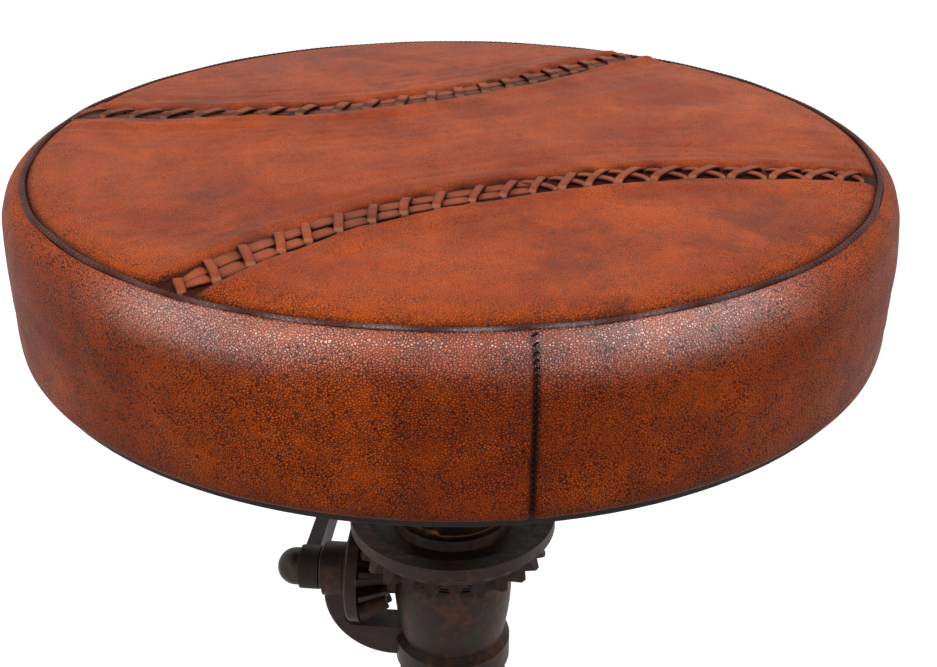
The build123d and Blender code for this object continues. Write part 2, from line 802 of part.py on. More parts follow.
with BuildPart() as drive_pinion:
    with BuildSketch(pinion_phase_plane):
        with BuildLine():
            draw(
                (pinion_front_d, shaft_r + fit_gap),
                [
                    (pinion_front_d, pinion_front_r),
                    (root_d * root_inner_share, root_h * root_inner_share),
                    (root_d * root_outer_share, root_back_h),
                    (shroud_foot_d, root_back_h),
                    (shroud_front_d, pinion_shroud_r),
                    (pinion_back_d, pinion_shroud_r),
                    (pinion_back_d, pinion_hub_r),
                    (pinion_hub_d, pinion_hub_r),
                    (pinion_hub_d, shaft_r + fit_gap),
                ],
            )
        make_face()
    revolve(axis=Axis(apex, shaft_dir))
    pinion_rims = drive_pinion.edges().filter_by(GeomType.CIRCLE).group_by(SortBy.RADIUS)[-1]
    fillet(pinion_rims.sort_by(lambda e: (e.center() - apex).dot(shaft_dir))[-1], flange_round / 2)
    for k in range(pinion_teeth):
        add(pinion_tooth.part.rotate(Axis(apex, shaft_dir), 360 / pinion_teeth * k))
    with BuildSketch(shaft_plane(key_front_d)):
        with Locations((0, shaft_r)):
            Rectangle(key_w, key_rise * 2 + fit_gap * 2)
    extrude(amount=pinion_hub_d - key_front_d, mode=Mode.SUBTRACT)

# Head casting: bowl, skirt and spigot in one turn, with the bearing arm on its left
arm_outline = [
    ((arm_belly_d, arm_belly_h), (boss_back_d, arm_toe_h)),
    (boss_back_d, 0),
    (boss_front_d, 0),
    (boss_front_d, arm_crook_h),
    (arm_crook_d, arm_floor_h),
    (arm_root_d, arm_floor_h),
]
with BuildPart() as bearing_arm:
    with BuildSketch(pinion_phase_plane):
        with BuildLine():
            draw((arm_root_d, arm_foot_h), arm_outline)
        make_face()
    extrude(amount=arm_t / 2, both=True)
    belly = bearing_arm.edges().filter_by(GeomType.CIRCLE)
    fillet(belly, arm_round)

with BuildPart() as head_casting:
    ring(
        (head_bore_r, head_top_z),
        [
            (head_land_r, head_top_z),
            (head_bowl_r, head_top_z - head_bowl_drop),
            ((bowl_waist_r, head_top_z - bowl_waist_drop), (neck_r, head_top_z - neck_drop)),
            (head_skirt_r, head_top_z - head_skirt_top_drop),
            (head_skirt_r, skirt_bottom_z),
            (spigot_r, skirt_bottom_z),
            (spigot_r, spigot_bottom_z),
            (head_bore_r, spigot_bottom_z),
        ],
    )
    add(bearing_arm.part)
    shaft_disc(boss_r, boss_front_d, boss_back_d)
    shaft_disc(inner_boss_r, head_bore_r + bush_t, inner_boss_d)
    disc(head_bore_r, spigot_bottom_z, head_top_z, mode=Mode.SUBTRACT)
    disc(head_land_r, head_top_z, head_top_z + overrun, mode=Mode.SUBTRACT)
    shaft_disc(shaft_seat_r, inner_bore_d, boss_back_d + overrun, mode=Mode.SUBTRACT)
    for k in range(head_screws_count):
        radial_rod(
            head_screw_r + fit_gap,
            90 + 360 / head_screws_count * k,
            spigot_r - head_screw_bite,
            tube_r,
            skirt_bottom_z - head_spigot_l / 2,
            Mode.SUBTRACT,
        )

with BuildPart() as upper_bush:
    tube(head_bore_r - fit_gap, bush_bore_r, head_top_z - bush_h, head_top_z)

with BuildPart() as lower_bush:
    tube(head_bore_r - fit_gap, bush_bore_r, spigot_bottom_z, spigot_bottom_z + bush_h)

with BuildPart() as thrust_washer:
    tube(gear_hub_r, head_bore_r, head_top_z, washer_top_z)

with BuildPart() as inner_shaft_bush:
    shaft_disc(shaft_seat_r - fit_gap, inner_bore_d, inner_boss_d)
    shaft_disc(shaft_bore_r, inner_bore_d, inner_boss_d, mode=Mode.SUBTRACT)

with BuildPart() as outer_shaft_bush:
    shaft_disc(shaft_seat_r - fit_gap, boss_front_d, boss_back_d)
    shaft_disc(shaft_bore_r, boss_front_d, boss_back_d, mode=Mode.SUBTRACT)

with BuildPart() as head_screws:
    for k in range(head_screws_count):
        angle = 90 + 360 / head_screws_count * k
        height = skirt_bottom_z - head_spigot_l / 2
        radial_rod(head_screw_r, angle, spigot_r - head_screw_bite + rest_gap, tube_r, height)
        radial_rod(head_screw_head_r, angle, tube_r, tube_r + head_screw_head_h, height)

# Crank: shaft, key, arm, washer, nut, spindle and grip
washer_front_d = boss_back_d + fit_gap * 5
with BuildPart() as crank_shaft:
    shaft_disc(shaft_r, shaft_front_d, crank_hub_d)
    with BuildSketch(shaft_plane(crank_hub_d)):
        Rectangle(shaft_square, shaft_square)
    extrude(amount=shaft_thread_d - crank_hub_d)
    shaft_disc(shaft_thread_r, shaft_thread_d, shaft_thread_d + shaft_thread_l)
    with BuildSketch(shaft_plane(key_front_d)):
        with Locations((0, shaft_r)):
            Rectangle(key_w + fit_gap * 2, key_rise * 2)
    extrude(amount=key_back_d - key_front_d, mode=Mode.SUBTRACT)

with BuildPart() as pinion_key:
    with BuildSketch(shaft_plane(key_front_d)):
        with Locations((0, shaft_r)):
            Rectangle(key_w - fit_gap * 2, key_rise * 2)
    extrude(amount=key_back_d - key_front_d)

with BuildPart() as crank_washer:
    shaft_disc(crank_washer_r, washer_front_d, washer_front_d + crank_washer_t)
    shaft_disc(shaft_bore_r, washer_front_d, washer_front_d + crank_washer_t, mode=Mode.SUBTRACT)

bar_front_d = crank_hub_d + (crank_hub_t - crank_bar_t) / 2
bar_back_d = bar_front_d + crank_bar_t
with BuildPart() as crank_arm:
    shaft_disc(crank_hub_r, crank_hub_d, shaft_thread_d)
    shaft_disc(crank_eye_r, bar_front_d, bar_back_d, side=crank_length)
    with BuildSketch(shaft_plane(bar_front_d)):
        Polygon(
            (0, crank_bar_root_w / 2),
            (0, -crank_bar_root_w / 2),
            (crank_length, -crank_bar_tip_w / 2),
            (crank_length, crank_bar_tip_w / 2),
            align=None,
        )
    extrude(amount=crank_bar_t)
    with BuildSketch(shaft_plane(crank_hub_d)):
        Rectangle(shaft_square + run_gap * 2, shaft_square + run_gap * 2)
    extrude(amount=crank_hub_t, mode=Mode.SUBTRACT)
    shaft_disc(spindle_r + fit_gap, bar_front_d, bar_back_d, side=crank_length, mode=Mode.SUBTRACT)

nut_dome_d = shaft_thread_d + crank_nut_base
with BuildPart() as crank_nut:
    with BuildSketch(pinion_phase_plane):
        with BuildLine():
            draw(
                (shaft_thread_d, 0),
                [
                    (shaft_thread_d, crank_nut_r),
                    (nut_dome_d, crank_nut_r),
                    (
                        (nut_dome_d + crank_nut_r * quarter, crank_nut_r * quarter),
                        (nut_dome_d + crank_nut_r, 0),
                    ),
                ],
            )
        make_face()
    revolve(axis=Axis(apex, shaft_dir))
    thread_end_d = shaft_thread_d + shaft_thread_l + rest_gap
    shaft_disc(shaft_thread_r + fit_gap, shaft_thread_d, thread_end_d, mode=Mode.SUBTRACT)

grip_front_d = bar_back_d + rest_gap
grip_back_d = grip_front_d + grip_length
with BuildPart() as grip_spindle:
    shaft_disc(spindle_head_r, bar_front_d - spindle_head_t, bar_front_d, side=crank_length)
    shaft_disc(spindle_r, bar_front_d, grip_back_d + rest_gap, side=crank_length)
    shaft_disc(
        spindle_head_r, grip_back_d + rest_gap, grip_back_d + rest_gap + spindle_cap_t, side=crank_length
    )

grip_axis_plane = Plane(
    origin=apex + crank_dir * crank_length, x_dir=shaft_dir, z_dir=(shaft_dir.Y, -shaft_dir.X, 0)
)
with BuildPart() as crank_grip:
    with BuildSketch(grip_axis_plane):
        with BuildLine():
            draw(
                (grip_front_d, spindle_r + run_gap),
                [
                    (grip_front_d, grip_end_r),
                    (
                        (grip_front_d + grip_length * grip_neck_share / 2, grip_neck_r),
                        (grip_front_d + grip_length * grip_neck_share, grip_end_r),
                    ),
                    (
                        (grip_front_d + grip_length * grip_belly_share, grip_belly_r),
                        (grip_back_d, grip_end_r),
                    ),
                    (grip_back_d, spindle_r + run_gap),
                ],
            )
        make_face()
    revolve(axis=Axis(apex + crank_dir * crank_length, shaft_dir))

# Column and the guide that keeps the screw from turning
with BuildPart() as column_tube:
    tube(tube_r, tube_bore_r, tube_foot_z, skirt_bottom_z)
    for k in range(head_screws_count):
        radial_rod(
            head_screw_r + rest_gap,
            90 + 360 / head_screws_count * k,
            tube_bore_r - overrun,
            tube_r + overrun,
            skirt_bottom_z - head_spigot_l / 2,
            Mode.SUBTRACT,
        )
    for angle in (0, 180):
        radial_rod(
            guide_screw_r + rest_gap,
            angle,
            tube_bore_r - overrun,
            tube_r + overrun,
            guide_bottom_z + guide_h / 2,
            Mode.SUBTRACT,
        )

guide_mid_z = guide_bottom_z + guide_h / 2
key_floor_r = keyway_floor_r + rest_gap
with BuildPart() as guide_sleeve:
    tube(tube_bore_r - run_gap, nut_bore_r, guide_bottom_z, guide_top_z)
    with BuildSketch(Plane.XY.offset(guide_mid_z - guide_key_h / 2)):
        with Locations((0, guide_key_root_r / 2)):
            Rectangle(guide_key_w, guide_key_root_r)
    extrude(amount=guide_key_h, mode=Mode.SUBTRACT)
    for angle in (0, 180):
        radial_rod(
            guide_screw_r + fit_gap, angle, tube_bore_r - guide_screw_bite, tube_r, guide_mid_z, Mode.SUBTRACT
        )

with BuildPart() as guide_key:
    with BuildSketch(Plane.XY.offset(guide_mid_z - guide_key_h / 2)):
        with Locations((0, (key_floor_r + guide_key_root_r) / 2)):
            Rectangle(guide_key_w, guide_key_root_r - key_floor_r)
    extrude(amount=guide_key_h)

with BuildPart() as guide_screws:
    for angle in (0, 180):
        radial_rod(guide_screw_r, angle, tube_bore_r - guide_screw_bite + rest_gap, tube_r, guide_mid_z)
        radial_rod(guide_screw_head_r, angle, tube_r, tube_r + guide_screw_head_h, guide_mid_z)


# Base: the hub, its four legs and what holds them
def set_screw(angle, hub_r, height):
    """A square-headed set screw that bears on the column, in the current part."""
    radial_rod(set_screw_r, angle, tube_r, hub_r, height)
    with BuildSketch(radial_plane(angle, hub_r, height)) as outline:
        Rectangle(set_screw_head_w, set_screw_head_w)
    extrude(outline.sketch, amount=set_screw_head_h)


hub_screw_z = (hub_block_top_z + hub_top_z) / 2
with BuildPart() as base_hub:
    with BuildSketch(Plane.XY.offset(hub_bottom_z)):
        with Locations(Rot(0, 0, leg_angles[0])):
            RectangleRounded(hub_block_w, hub_block_w, hub_block_round)
    extrude(amount=hub_block_top_z - hub_bottom_z)
    disc(hub_neck_r, hub_block_top_z, hub_top_z)
    disc(tube_r + run_gap, tube_foot_z, hub_top_z, mode=Mode.SUBTRACT)
    disc(hub_drain_r, hub_bottom_z, tube_foot_z, mode=Mode.SUBTRACT)
    for angle in (90, 210, 330):
        radial_rod(set_screw_r + fit_gap, angle, tube_r, hub_neck_r + overrun, hub_screw_z, Mode.SUBTRACT)
    for angle in leg_angles:
        for height in leg_bolt_z:
            with BuildSketch(radial_plane(angle, hub_flat - leg_bolt_bite, height)):
                with Locations((-leg_bolt_side, 0), (leg_bolt_side, 0)):
                    Circle(leg_bolt_r + fit_gap)
            extrude(amount=leg_bolt_bite + overrun, mode=Mode.SUBTRACT)

with BuildPart() as hub_set_screws:
    for angle in (90, 210, 330):
        set_screw(angle, hub_neck_r, hub_screw_z)


def leg_side_plane(angle):
    """The upright plane through the column axis at a leg's angle, with X outwards."""
    out = Vector(math.cos(math.radians(angle)), math.sin(math.radians(angle)), 0)
    return Plane(origin=(0, 0, 0), x_dir=out, z_dir=(out.Y, -out.X, 0))


def leg(angle):
    """One cast leg with its bolting flange and toe pad, in the current part."""
    toe = Vector(math.cos(math.radians(angle)), math.sin(math.radians(angle)), 0) * leg_toe_d
    with BuildSketch(leg_side_plane(angle)) as outline:
        with BuildLine():
            draw(
                (leg_root_d, leg_root_top_z),
                [
                    ((leg_crook_d, leg_crook_top_z), (leg_toe_d, leg_toe_top_z)),
                    ((leg_tip_bulge_d, leg_tip_bulge_z), (leg_tip_d, leg_tip_z)),
                    (leg_tip_d, glide_t),
                    (leg_heel_d, glide_t),
                    ((leg_crook_d, leg_crook_bottom_z), (leg_root_d, leg_root_bottom_z)),
                ],
            )
        make_face()
    extrude(outline.sketch, amount=leg_t / 2, both=True)
    with BuildSketch(radial_plane(angle, hub_flat, (leg_flange_bottom_z + leg_flange_top_z) / 2)) as outline:
        RectangleRounded(leg_flange_w, leg_flange_top_z - leg_flange_bottom_z, leg_round * 2)
    extrude(outline.sketch, amount=leg_flange_t)
    with BuildSketch(Plane.XY.offset(glide_t)) as outline:
        with Locations((toe.X, toe.Y)):
            Circle(toe_pad_r)
    extrude(outline.sketch, amount=toe_pad_h)
    for height in leg_bolt_z:
        with BuildSketch(radial_plane(angle, hub_flat, height)) as outline:
            with Locations((-leg_bolt_side, 0), (leg_bolt_side, 0)):
                Circle(leg_bolt_r + rest_gap)
        extrude(outline.sketch, amount=leg_flange_t, mode=Mode.SUBTRACT)
    with BuildSketch(Plane.XY.offset(glide_t)) as outline:
        with Locations((toe.X, toe.Y)):
            Circle(glide_screw_r + fit_gap)
    extrude(outline.sketch, amount=glide_screw_bite + rest_gap, mode=Mode.SUBTRACT)


legs = []
for leg_angle in leg_angles:
    with BuildPart() as one_leg:
        leg(leg_angle)
    legs.append(one_leg)

with BuildPart() as leg_bolts:
    for angle in leg_angles:
        for height in leg_bolt_z:
            for side in (-leg_bolt_side, leg_bolt_side):
                with BuildSketch(radial_plane(angle, leg_face_d, height)):
                    with Locations((side, 0)):
                        RegularPolygon(leg_bolt_head_r, 6)
                extrude(amount=leg_bolt_head_h)
                with BuildSketch(radial_plane(angle, hub_flat - leg_bolt_bite + rest_gap, height)):
                    with Locations((side, 0)):
                        Circle(leg_bolt_r)
                extrude(amount=leg_bolt_bite + leg_flange_t - rest_gap)

glide_spots = []
for angle in leg_angles:
    turn = math.radians(angle)
    glide_spots.append((leg_toe_d * math.cos(turn), leg_toe_d * math.sin(turn)))
with BuildPart() as floor_glides:
    with BuildSketch(Plane.XY):
        with Locations(*glide_spots):
            Circle(glide_r)
    extrude(amount=glide_t)
    fillet(floor_glides.edges().group_by(Axis.Z)[0], glide_round)
    with BuildSketch(Plane.XY):
        with Locations(*glide_spots):
            Circle(glide_recess_r)
    extrude(amount=glide_recess_h, mode=Mode.SUBTRACT)
    with BuildSketch(Plane.XY):
        with Locations(*glide_spots):
            Circle(glide_screw_r + rest_gap)
    extrude(amount=glide_t, mode=Mode.SUBTRACT)

with BuildPart() as glide_screws:
    with BuildSketch(Plane.XY.offset(glide_recess_h - glide_screw_head_h)):
        with Locations(*glide_spots):
            Circle(glide_screw_head_r)
    extrude(amount=glide_screw_head_h)
    with BuildSketch(Plane.XY.offset(glide_recess_h)):
        with Locations(*glide_spots):
            Circle(glide_screw_r)
    extrude(amount=glide_t - glide_recess_h + glide_screw_bite)

# Foot ring with its spokes and hub
spoke_angles = (0, 90, 180, 270)
with BuildPart() as foot_ring:
    with Locations(Location((0, 0, foot_ring_z), (0, 0, leg_angles[0]))):
        Torus(foot_ring_r, foot_ring_bar_r)

hub_outside_r = ring_hub_r + overrun
spoke_seat_r = ring_hub_r - spoke_bite
with BuildPart() as ring_hub:
    tube(ring_hub_r, tube_r + run_gap, foot_ring_z - ring_hub_h / 2, foot_ring_z + ring_hub_h / 2)
    hub_rims = ring_hub.edges().filter_by(GeomType.CIRCLE).group_by(SortBy.RADIUS)[-1]
    fillet(hub_rims, ring_hub_round)
    for angle in spoke_angles:
        radial_rod(spoke_r + fit_gap, angle, spoke_seat_r, hub_outside_r, foot_ring_z, Mode.SUBTRACT)
    for angle in (45, 225):
        radial_rod(set_screw_r + fit_gap, angle, tube_r, hub_outside_r, foot_ring_z, Mode.SUBTRACT)

spoke_from_d = spoke_seat_r + rest_gap
with BuildPart() as ring_spokes:
    for angle in spoke_angles:
        radial_rod(spoke_r, angle, spoke_from_d, foot_ring_r - foot_ring_bar_r - rest_gap, foot_ring_z)

with BuildPart() as ring_set_screws:
    for angle in (45, 225):
        set_screw(angle, ring_hub_r, foot_ring_z)

pieces = {
    "top_panel_front": top_panel_front,
    "top_panel_middle": top_panel_middle,
    "top_panel_rear": top_panel_rear,
    "side_band": side_band,
    "seat_welt": seat_welt,
    "front_lacing": front_lacing,
    "rear_lacing": rear_lacing,
    "foam_pad": foam_pad,
    "seat_board": seat_board,
    "t_nuts": t_nuts,
    "dust_cover": dust_cover,
    "base_plate": base_plate,
    "seat_flange": seat_flange,
    "flange_bolts": flange_bolts,
    "lift_screw": lift_screw,
    "screw_pin": screw_pin,
    "stop_collar": stop_collar,
    "stop_pin": stop_pin,
    "bevel_gear": bevel_gear,
    "lift_nut": lift_nut,
    "nut_screws": nut_screws,
    "retaining_collar": retaining_collar,
    "collar_screws": collar_screws,
    "drive_pinion": drive_pinion,
    "crank_shaft": crank_shaft,
    "pinion_key": pinion_key,
    "crank_washer": crank_washer,
    "crank_arm": crank_arm,
    "crank_nut": crank_nut,
    "grip_spindle": grip_spindle,
    "crank_grip": crank_grip,
    "head_casting": head_casting,
    "upper_bush": upper_bush,
    "lower_bush": lower_bush,
    "thrust_washer": thrust_washer,
    "inner_shaft_bush": inner_shaft_bush,
    "outer_shaft_bush": outer_shaft_bush,
    "head_screws": head_screws,
    "column_tube": column_tube,
    "guide_sleeve": guide_sleeve,
    "guide_key": guide_key,
    "guide_screws": guide_screws,
    "base_hub": base_hub,
    "hub_set_screws": hub_set_screws,
    "leg_bolts": leg_bolts,
    "floor_glides": floor_glides,
    "glide_screws": glide_screws,
    "foot_ring": foot_ring,
    "ring_hub": ring_hub,
    "ring_spokes": ring_spokes,
    "ring_set_screws": ring_set_screws,
}
for number, one_leg in enumerate(legs, start=1):
    pieces["leg_" + str(number)] = one_leg
for name, piece in pieces.items():
    save(piece, name)
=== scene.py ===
"""Looks of the crank stool: laced leather seat, dark patinated iron, the photograph's camera and light."""

import json
import math

import bpy
import numpy as np
from mathutils import Matrix, Vector, noise


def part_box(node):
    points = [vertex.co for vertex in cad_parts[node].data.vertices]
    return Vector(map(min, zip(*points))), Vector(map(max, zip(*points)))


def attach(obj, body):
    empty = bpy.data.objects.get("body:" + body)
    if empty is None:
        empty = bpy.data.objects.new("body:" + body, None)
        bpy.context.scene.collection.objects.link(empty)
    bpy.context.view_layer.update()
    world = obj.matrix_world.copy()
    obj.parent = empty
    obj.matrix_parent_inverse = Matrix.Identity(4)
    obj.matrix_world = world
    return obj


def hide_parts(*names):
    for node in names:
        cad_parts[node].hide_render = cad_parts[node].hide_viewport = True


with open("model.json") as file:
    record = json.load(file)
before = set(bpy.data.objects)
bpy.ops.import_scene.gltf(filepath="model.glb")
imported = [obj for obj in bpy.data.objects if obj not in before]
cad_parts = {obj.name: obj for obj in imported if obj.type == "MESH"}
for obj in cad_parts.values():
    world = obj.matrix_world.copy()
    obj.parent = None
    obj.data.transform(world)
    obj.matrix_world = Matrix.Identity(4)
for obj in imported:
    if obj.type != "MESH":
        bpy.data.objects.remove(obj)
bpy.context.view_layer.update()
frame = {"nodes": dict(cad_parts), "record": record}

# Camera, solved from the seat's ellipse
CAMERA_PLACE = (0, -0.5430, 0.8822)
CAMERA_PITCH, CAMERA_YAW, CAMERA_ROLL = 0.4592, 0.0126, 0.0062
FOCAL_PIXELS = 1380.4
IMAGE_WIDTH = 937
SENSOR_WIDTH = 36

# Seat, in metres and radians
WELT_Z = 0.700
WELT_R = 0.170
CORD_R = 0.0013
CORD_DROP = 0.0015
RIM_R = 0.1684
CROWN = 0.0065
BAND_R = 0.179
BAND_FALL = 0.064
UNDERSIDE = -0.0658
FRONT = -math.pi / 2
JOINT_ANGLE = math.radians(-81.9)
PUCKER_PITCH = 0.0026
GROOVE_HALF = 0.0064

# Threads and laces, in metres
STITCH_PITCH = 0.0023
STITCH_HALF = 0.0011
STITCH_LEAN = 0.0005
THREAD = 0.0008
STRAP_WIDTH = 0.0035
STRAP_THICK = 0.0009
STRAP_ARCH = 0.0013
STRAND_GAP = 0.0010
CROSSING_SUNK = 0.0007
# The two strands between the straps: middle and width, as shares of the straps' length
STRAND_MIDDLE, STRAND_WIDTH = 0.250, 0.47

# Parts of the cushion's outline
TOP, RIM, BAND, UNDER = range(4)

# Textures of the hide, in lumps per metre
STAIN_SCALE, TONE_SCALE, FOLD_SCALE, PATCH_SCALE = 14, 20, 34, 50
WRINKLE_SCALE, FINE_SCALE, FLECK_SCALE, PEBBLE_SCALE = 95, 400, 700, 1080


def make_camera():
    """The photograph's camera."""
    pitch, yaw, roll = CAMERA_PITCH, CAMERA_YAW, CAMERA_ROLL
    forward = Vector((math.sin(yaw) * math.cos(pitch), math.cos(yaw) * math.cos(pitch), -math.sin(pitch)))
    right = Vector((math.cos(yaw), -math.sin(yaw), 0))
    up = right.cross(forward)
    turned_right = math.cos(roll) * right + math.sin(roll) * up
    turned_up = math.cos(roll) * up - math.sin(roll) * right
    data = bpy.data.cameras.new("camera")
    data.lens = FOCAL_PIXELS * SENSOR_WIDTH / IMAGE_WIDTH
    data.sensor_width = SENSOR_WIDTH
    camera = bpy.data.objects.new("camera", data)
    rotation = Matrix((turned_right, turned_up, -forward)).transposed().to_4x4()
    camera.matrix_world = Matrix.Translation(CAMERA_PLACE) @ rotation
    bpy.context.scene.collection.objects.link(camera)
    bpy.context.scene.camera = camera


# Node helpers
class Graph:
    """The nodes of a material or the world, added one call at a time."""

    def __init__(self, owner, output="ShaderNodeOutputMaterial"):
        self.owner = owner
        owner.use_nodes = True
        self.tree = owner.node_tree
        self.tree.nodes.clear()
        self.out = self.tree.nodes.new(output)

    def set(self, socket, value):
        if isinstance(value, bpy.types.NodeSocket):
            self.tree.links.new(value, socket)
        elif value is not None:
            socket.default_value = value

    def node(self, kind, inputs=None, **settings):
        made = self.tree.nodes.new(kind)
        for key, value in settings.items():
            setattr(made, key, value)
        for key, value in (inputs or {}).items():
            self.set(made.inputs[key], value)
        return made

    def place(self):
        return self.node("ShaderNodeTexCoord").outputs["Object"]

    def noise(self, scale, detail, rough, where, distortion=0.0):
        inputs = {
            "Vector": where,
            "Scale": scale,
            "Detail": detail,
            "Roughness": rough,
            "Distortion": distortion,
        }
        return self.node("ShaderNodeTexNoise", inputs).outputs["Fac"]

    def cells(self, scale, where):
        """Distance to the nearest edge between cells, for a pebbled grain."""
        inputs = {"Vector": where, "Scale": scale}
        return self.node("ShaderNodeTexVoronoi", inputs, feature="DISTANCE_TO_EDGE").outputs["Distance"]

    def math(self, kind, a, b=None, c=None):
        made = self.node("ShaderNodeMath", operation=kind)
        for socket, value in zip(made.inputs, (a, b, c)):
            self.set(socket, value)
        return made.outputs[0]

    def smooth_step(self, value, low, high):
        """0 at low and 1 at high, with a soft turn at both."""
        inputs = {"Value": value, "From Min": low, "From Max": high}
        return self.node("ShaderNodeMapRange", inputs, interpolation_type="SMOOTHSTEP").outputs["Result"]

    def ramp(self, factor, stops):
        made = self.node("ShaderNodeValToRGB", {"Fac": factor})
        ramp = made.color_ramp
        while len(ramp.elements) < len(stops):
            ramp.elements.new(0.5)
        for element, (position, color) in zip(ramp.elements, stops):
            element.position = position
            element.color = (*color, 1)
        return made.outputs["Color"]

    def mix(self, factor, under, over):
        """A colour laid over what is under it, as far as the factor says."""
        made = self.node("ShaderNodeMix", data_type="RGBA", blend_type="MIX")
        self.set(made.inputs[0], factor)
        self.set(made.inputs[6], under)
        self.set(made.inputs[7], (*over, 1))
        return made.outputs[2]

    def wash(self, under, area, share, over):
        """A share of a colour laid over what is under it, where the area is."""
        return self.mix(self.math("MULTIPLY", area, share), under, over)

    def bump(self, height, strength, distance, normal=None):
        inputs = {"Height": height, "Strength": strength, "Distance": distance, "Normal": normal}
        return self.node("ShaderNodeBump", inputs).outputs["Normal"]

    def attribute(self, name):
        return self.node("ShaderNodeAttribute", attribute_name=name).outputs["Fac"]

    def background_rays(self):
        """1 for the rays that show the background itself: the camera's, mirrored and refracted ones."""
        path = self.node("ShaderNodeLightPath")
        seen = self.math("MAXIMUM", path.outputs["Is Camera Ray"], path.outputs["Is Glossy Ray"])
        return self.math("MAXIMUM", seen, path.outputs["Is Transmission Ray"])

    def surface(self, shader):
        self.tree.links.new(shader.outputs[0], self.out.inputs["Surface"])
        return self.owner

    def principled(self, **inputs):
        names = {key.replace("_", " "): value for key, value in inputs.items()}
        return self.surface(self.node("ShaderNodeBsdfPrincipled", names))


def material_graph(name):
    return Graph(bpy.data.materials.new(name))


def rgb(r, g, b):
    """A colour written as sRGB 0 to 255, in the renderer's linear terms."""
    linear = []
    for value in (r, g, b):
        share = value / 255
        linear.append(share / 12.92 if share < 0.04045 else ((share + 0.055) / 1.055) ** 2.4)
    return tuple(linear)


# Colours laid over the leather's own colour: real stains, dirt and wear, and painted light, sheen, shade and
# highlight
# a real wax orange, laid brighter near the welt and on the shoulder as painted light
WAX_AND_LIGHT = rgb(204, 88, 8)
STAIN = rgb(88, 42, 34)
# painted sheen: a pale pink haze laid over the top, for the reflection of the white surroundings
PAINTED_SHEEN = rgb(176, 112, 96)
# dark laid on the hide: dirt, smears and dark joints, and painted shade in grooves, under the straps and
# under the welt cord
DIRT_AND_SHADE = rgb(34, 14, 13)
# pale wear, and a painted highlight on the straps' bent-down lower ends
WEAR_AND_HIGHLIGHT = rgb(206, 152, 116)


# Materials
def leather(name, light, middle, dark, grain=1.0, shine=0.46, gloss=0.06):
    """Waxed hide: mottled, stained, folded and pebbled, and marked by the areas of the mesh.

    grain is how strong its pebbles are, shine its roughness, and gloss its specular level.
    """
    g = material_graph(name)
    where = g.place()
    tone = g.noise(TONE_SCALE, 8, 0.68, where, 0.4)
    color = g.ramp(tone, [(0.38, light), (0.60, middle)])
    # a real wax tone, and painted light: a brighter, purer orange near the welt and on the band's shoulder
    color = g.wash(color, g.attribute("wax_and_light"), 0.62, WAX_AND_LIGHT)
    stain = g.smooth_step(g.noise(STAIN_SCALE, 12, 0.72, where, 0.5), 0.51, 0.66)
    color = g.wash(color, stain, 0.58, STAIN)
    patch = g.smooth_step(g.noise(PATCH_SCALE, 8, 0.74, where, 0.3), 0.50, 0.62)
    fleck = g.smooth_step(g.noise(FLECK_SCALE, 4, 0.7, where), 0.45, 0.57)
    color = g.wash(color, g.math("MULTIPLY", patch, fleck), 0.28, dark)

    # thin dark folds lie where a noise crosses its middle, and only in some places
    from_middle = g.math("SUBTRACT", g.noise(FOLD_SCALE, 6, 0.7, where, 1.2), 0.5)
    folds = g.smooth_step(g.math("ABSOLUTE", from_middle), 0.012, 0.0)
    folds = g.math("MULTIPLY", folds, g.smooth_step(g.noise(26, 2, 0.5, where), 0.48, 0.66))
    color = g.wash(color, folds, 0.55 * grain, dark)

    # the creases between the pebbles are dark, less so under the painted sheen
    painted_sheen = g.attribute("painted_sheen")
    pebble = g.cells(PEBBLE_SCALE, where)
    crease = g.smooth_step(pebble, 0.23, 0.01)
    depth = g.math("MULTIPLY_ADD", g.smooth_step(g.noise(90, 5, 0.65, where), 0.30, 0.62), 0.38, 0.62)
    strength = g.math("MULTIPLY_ADD", painted_sheen, -0.30 * grain, grain)
    color = g.mix(g.math("MULTIPLY", g.math("MULTIPLY", crease, depth), strength), color, dark)
    # painted sheen: a pale pink haze over the top
    color = g.wash(color, painted_sheen, 0.12, PAINTED_SHEEN)
    dirt_and_shade = g.attribute("dirt_and_shade")
    # dirt, smears and dark joints, and painted shade in the seams' grooves, under the straps and under the
    # welt cord
    color = g.wash(color, dirt_and_shade, 0.92, DIRT_AND_SHADE)
    # pale wear on the straps, and a painted highlight on their bent-down lower ends
    color = g.wash(color, g.attribute("wear_and_highlight"), 0.60, WEAR_AND_HIGHLIGHT)

    normal = g.bump(g.noise(WRINKLE_SCALE, 5, 0.62, where, 0.9), 0.34, 0.0012)
    normal = g.bump(g.smooth_step(pebble, 0.0, 0.30), 0.60 * grain, 0.0004, normal)
    normal = g.bump(g.noise(FINE_SCALE, 3, 0.6, where), 0.25 * grain, 0.0005, normal)
    rough = g.math("MULTIPLY_ADD", tone, 0.20, shine - 0.10)
    rough = g.math("MULTIPLY_ADD", dirt_and_shade, 0.10, rough)
    sheen = g.math("MULTIPLY", g.attribute("polish"), g.math("MULTIPLY_ADD", crease, -0.6, 1.0))
    return g.principled(
        Base_Color=color,
        Roughness=rough,
        Normal=normal,
        Specular_IOR_Level=gloss,
        Coat_Weight=sheen,
        Coat_Roughness=0.34,
        Coat_IOR=2.8,
        Coat_Normal=normal,
    )


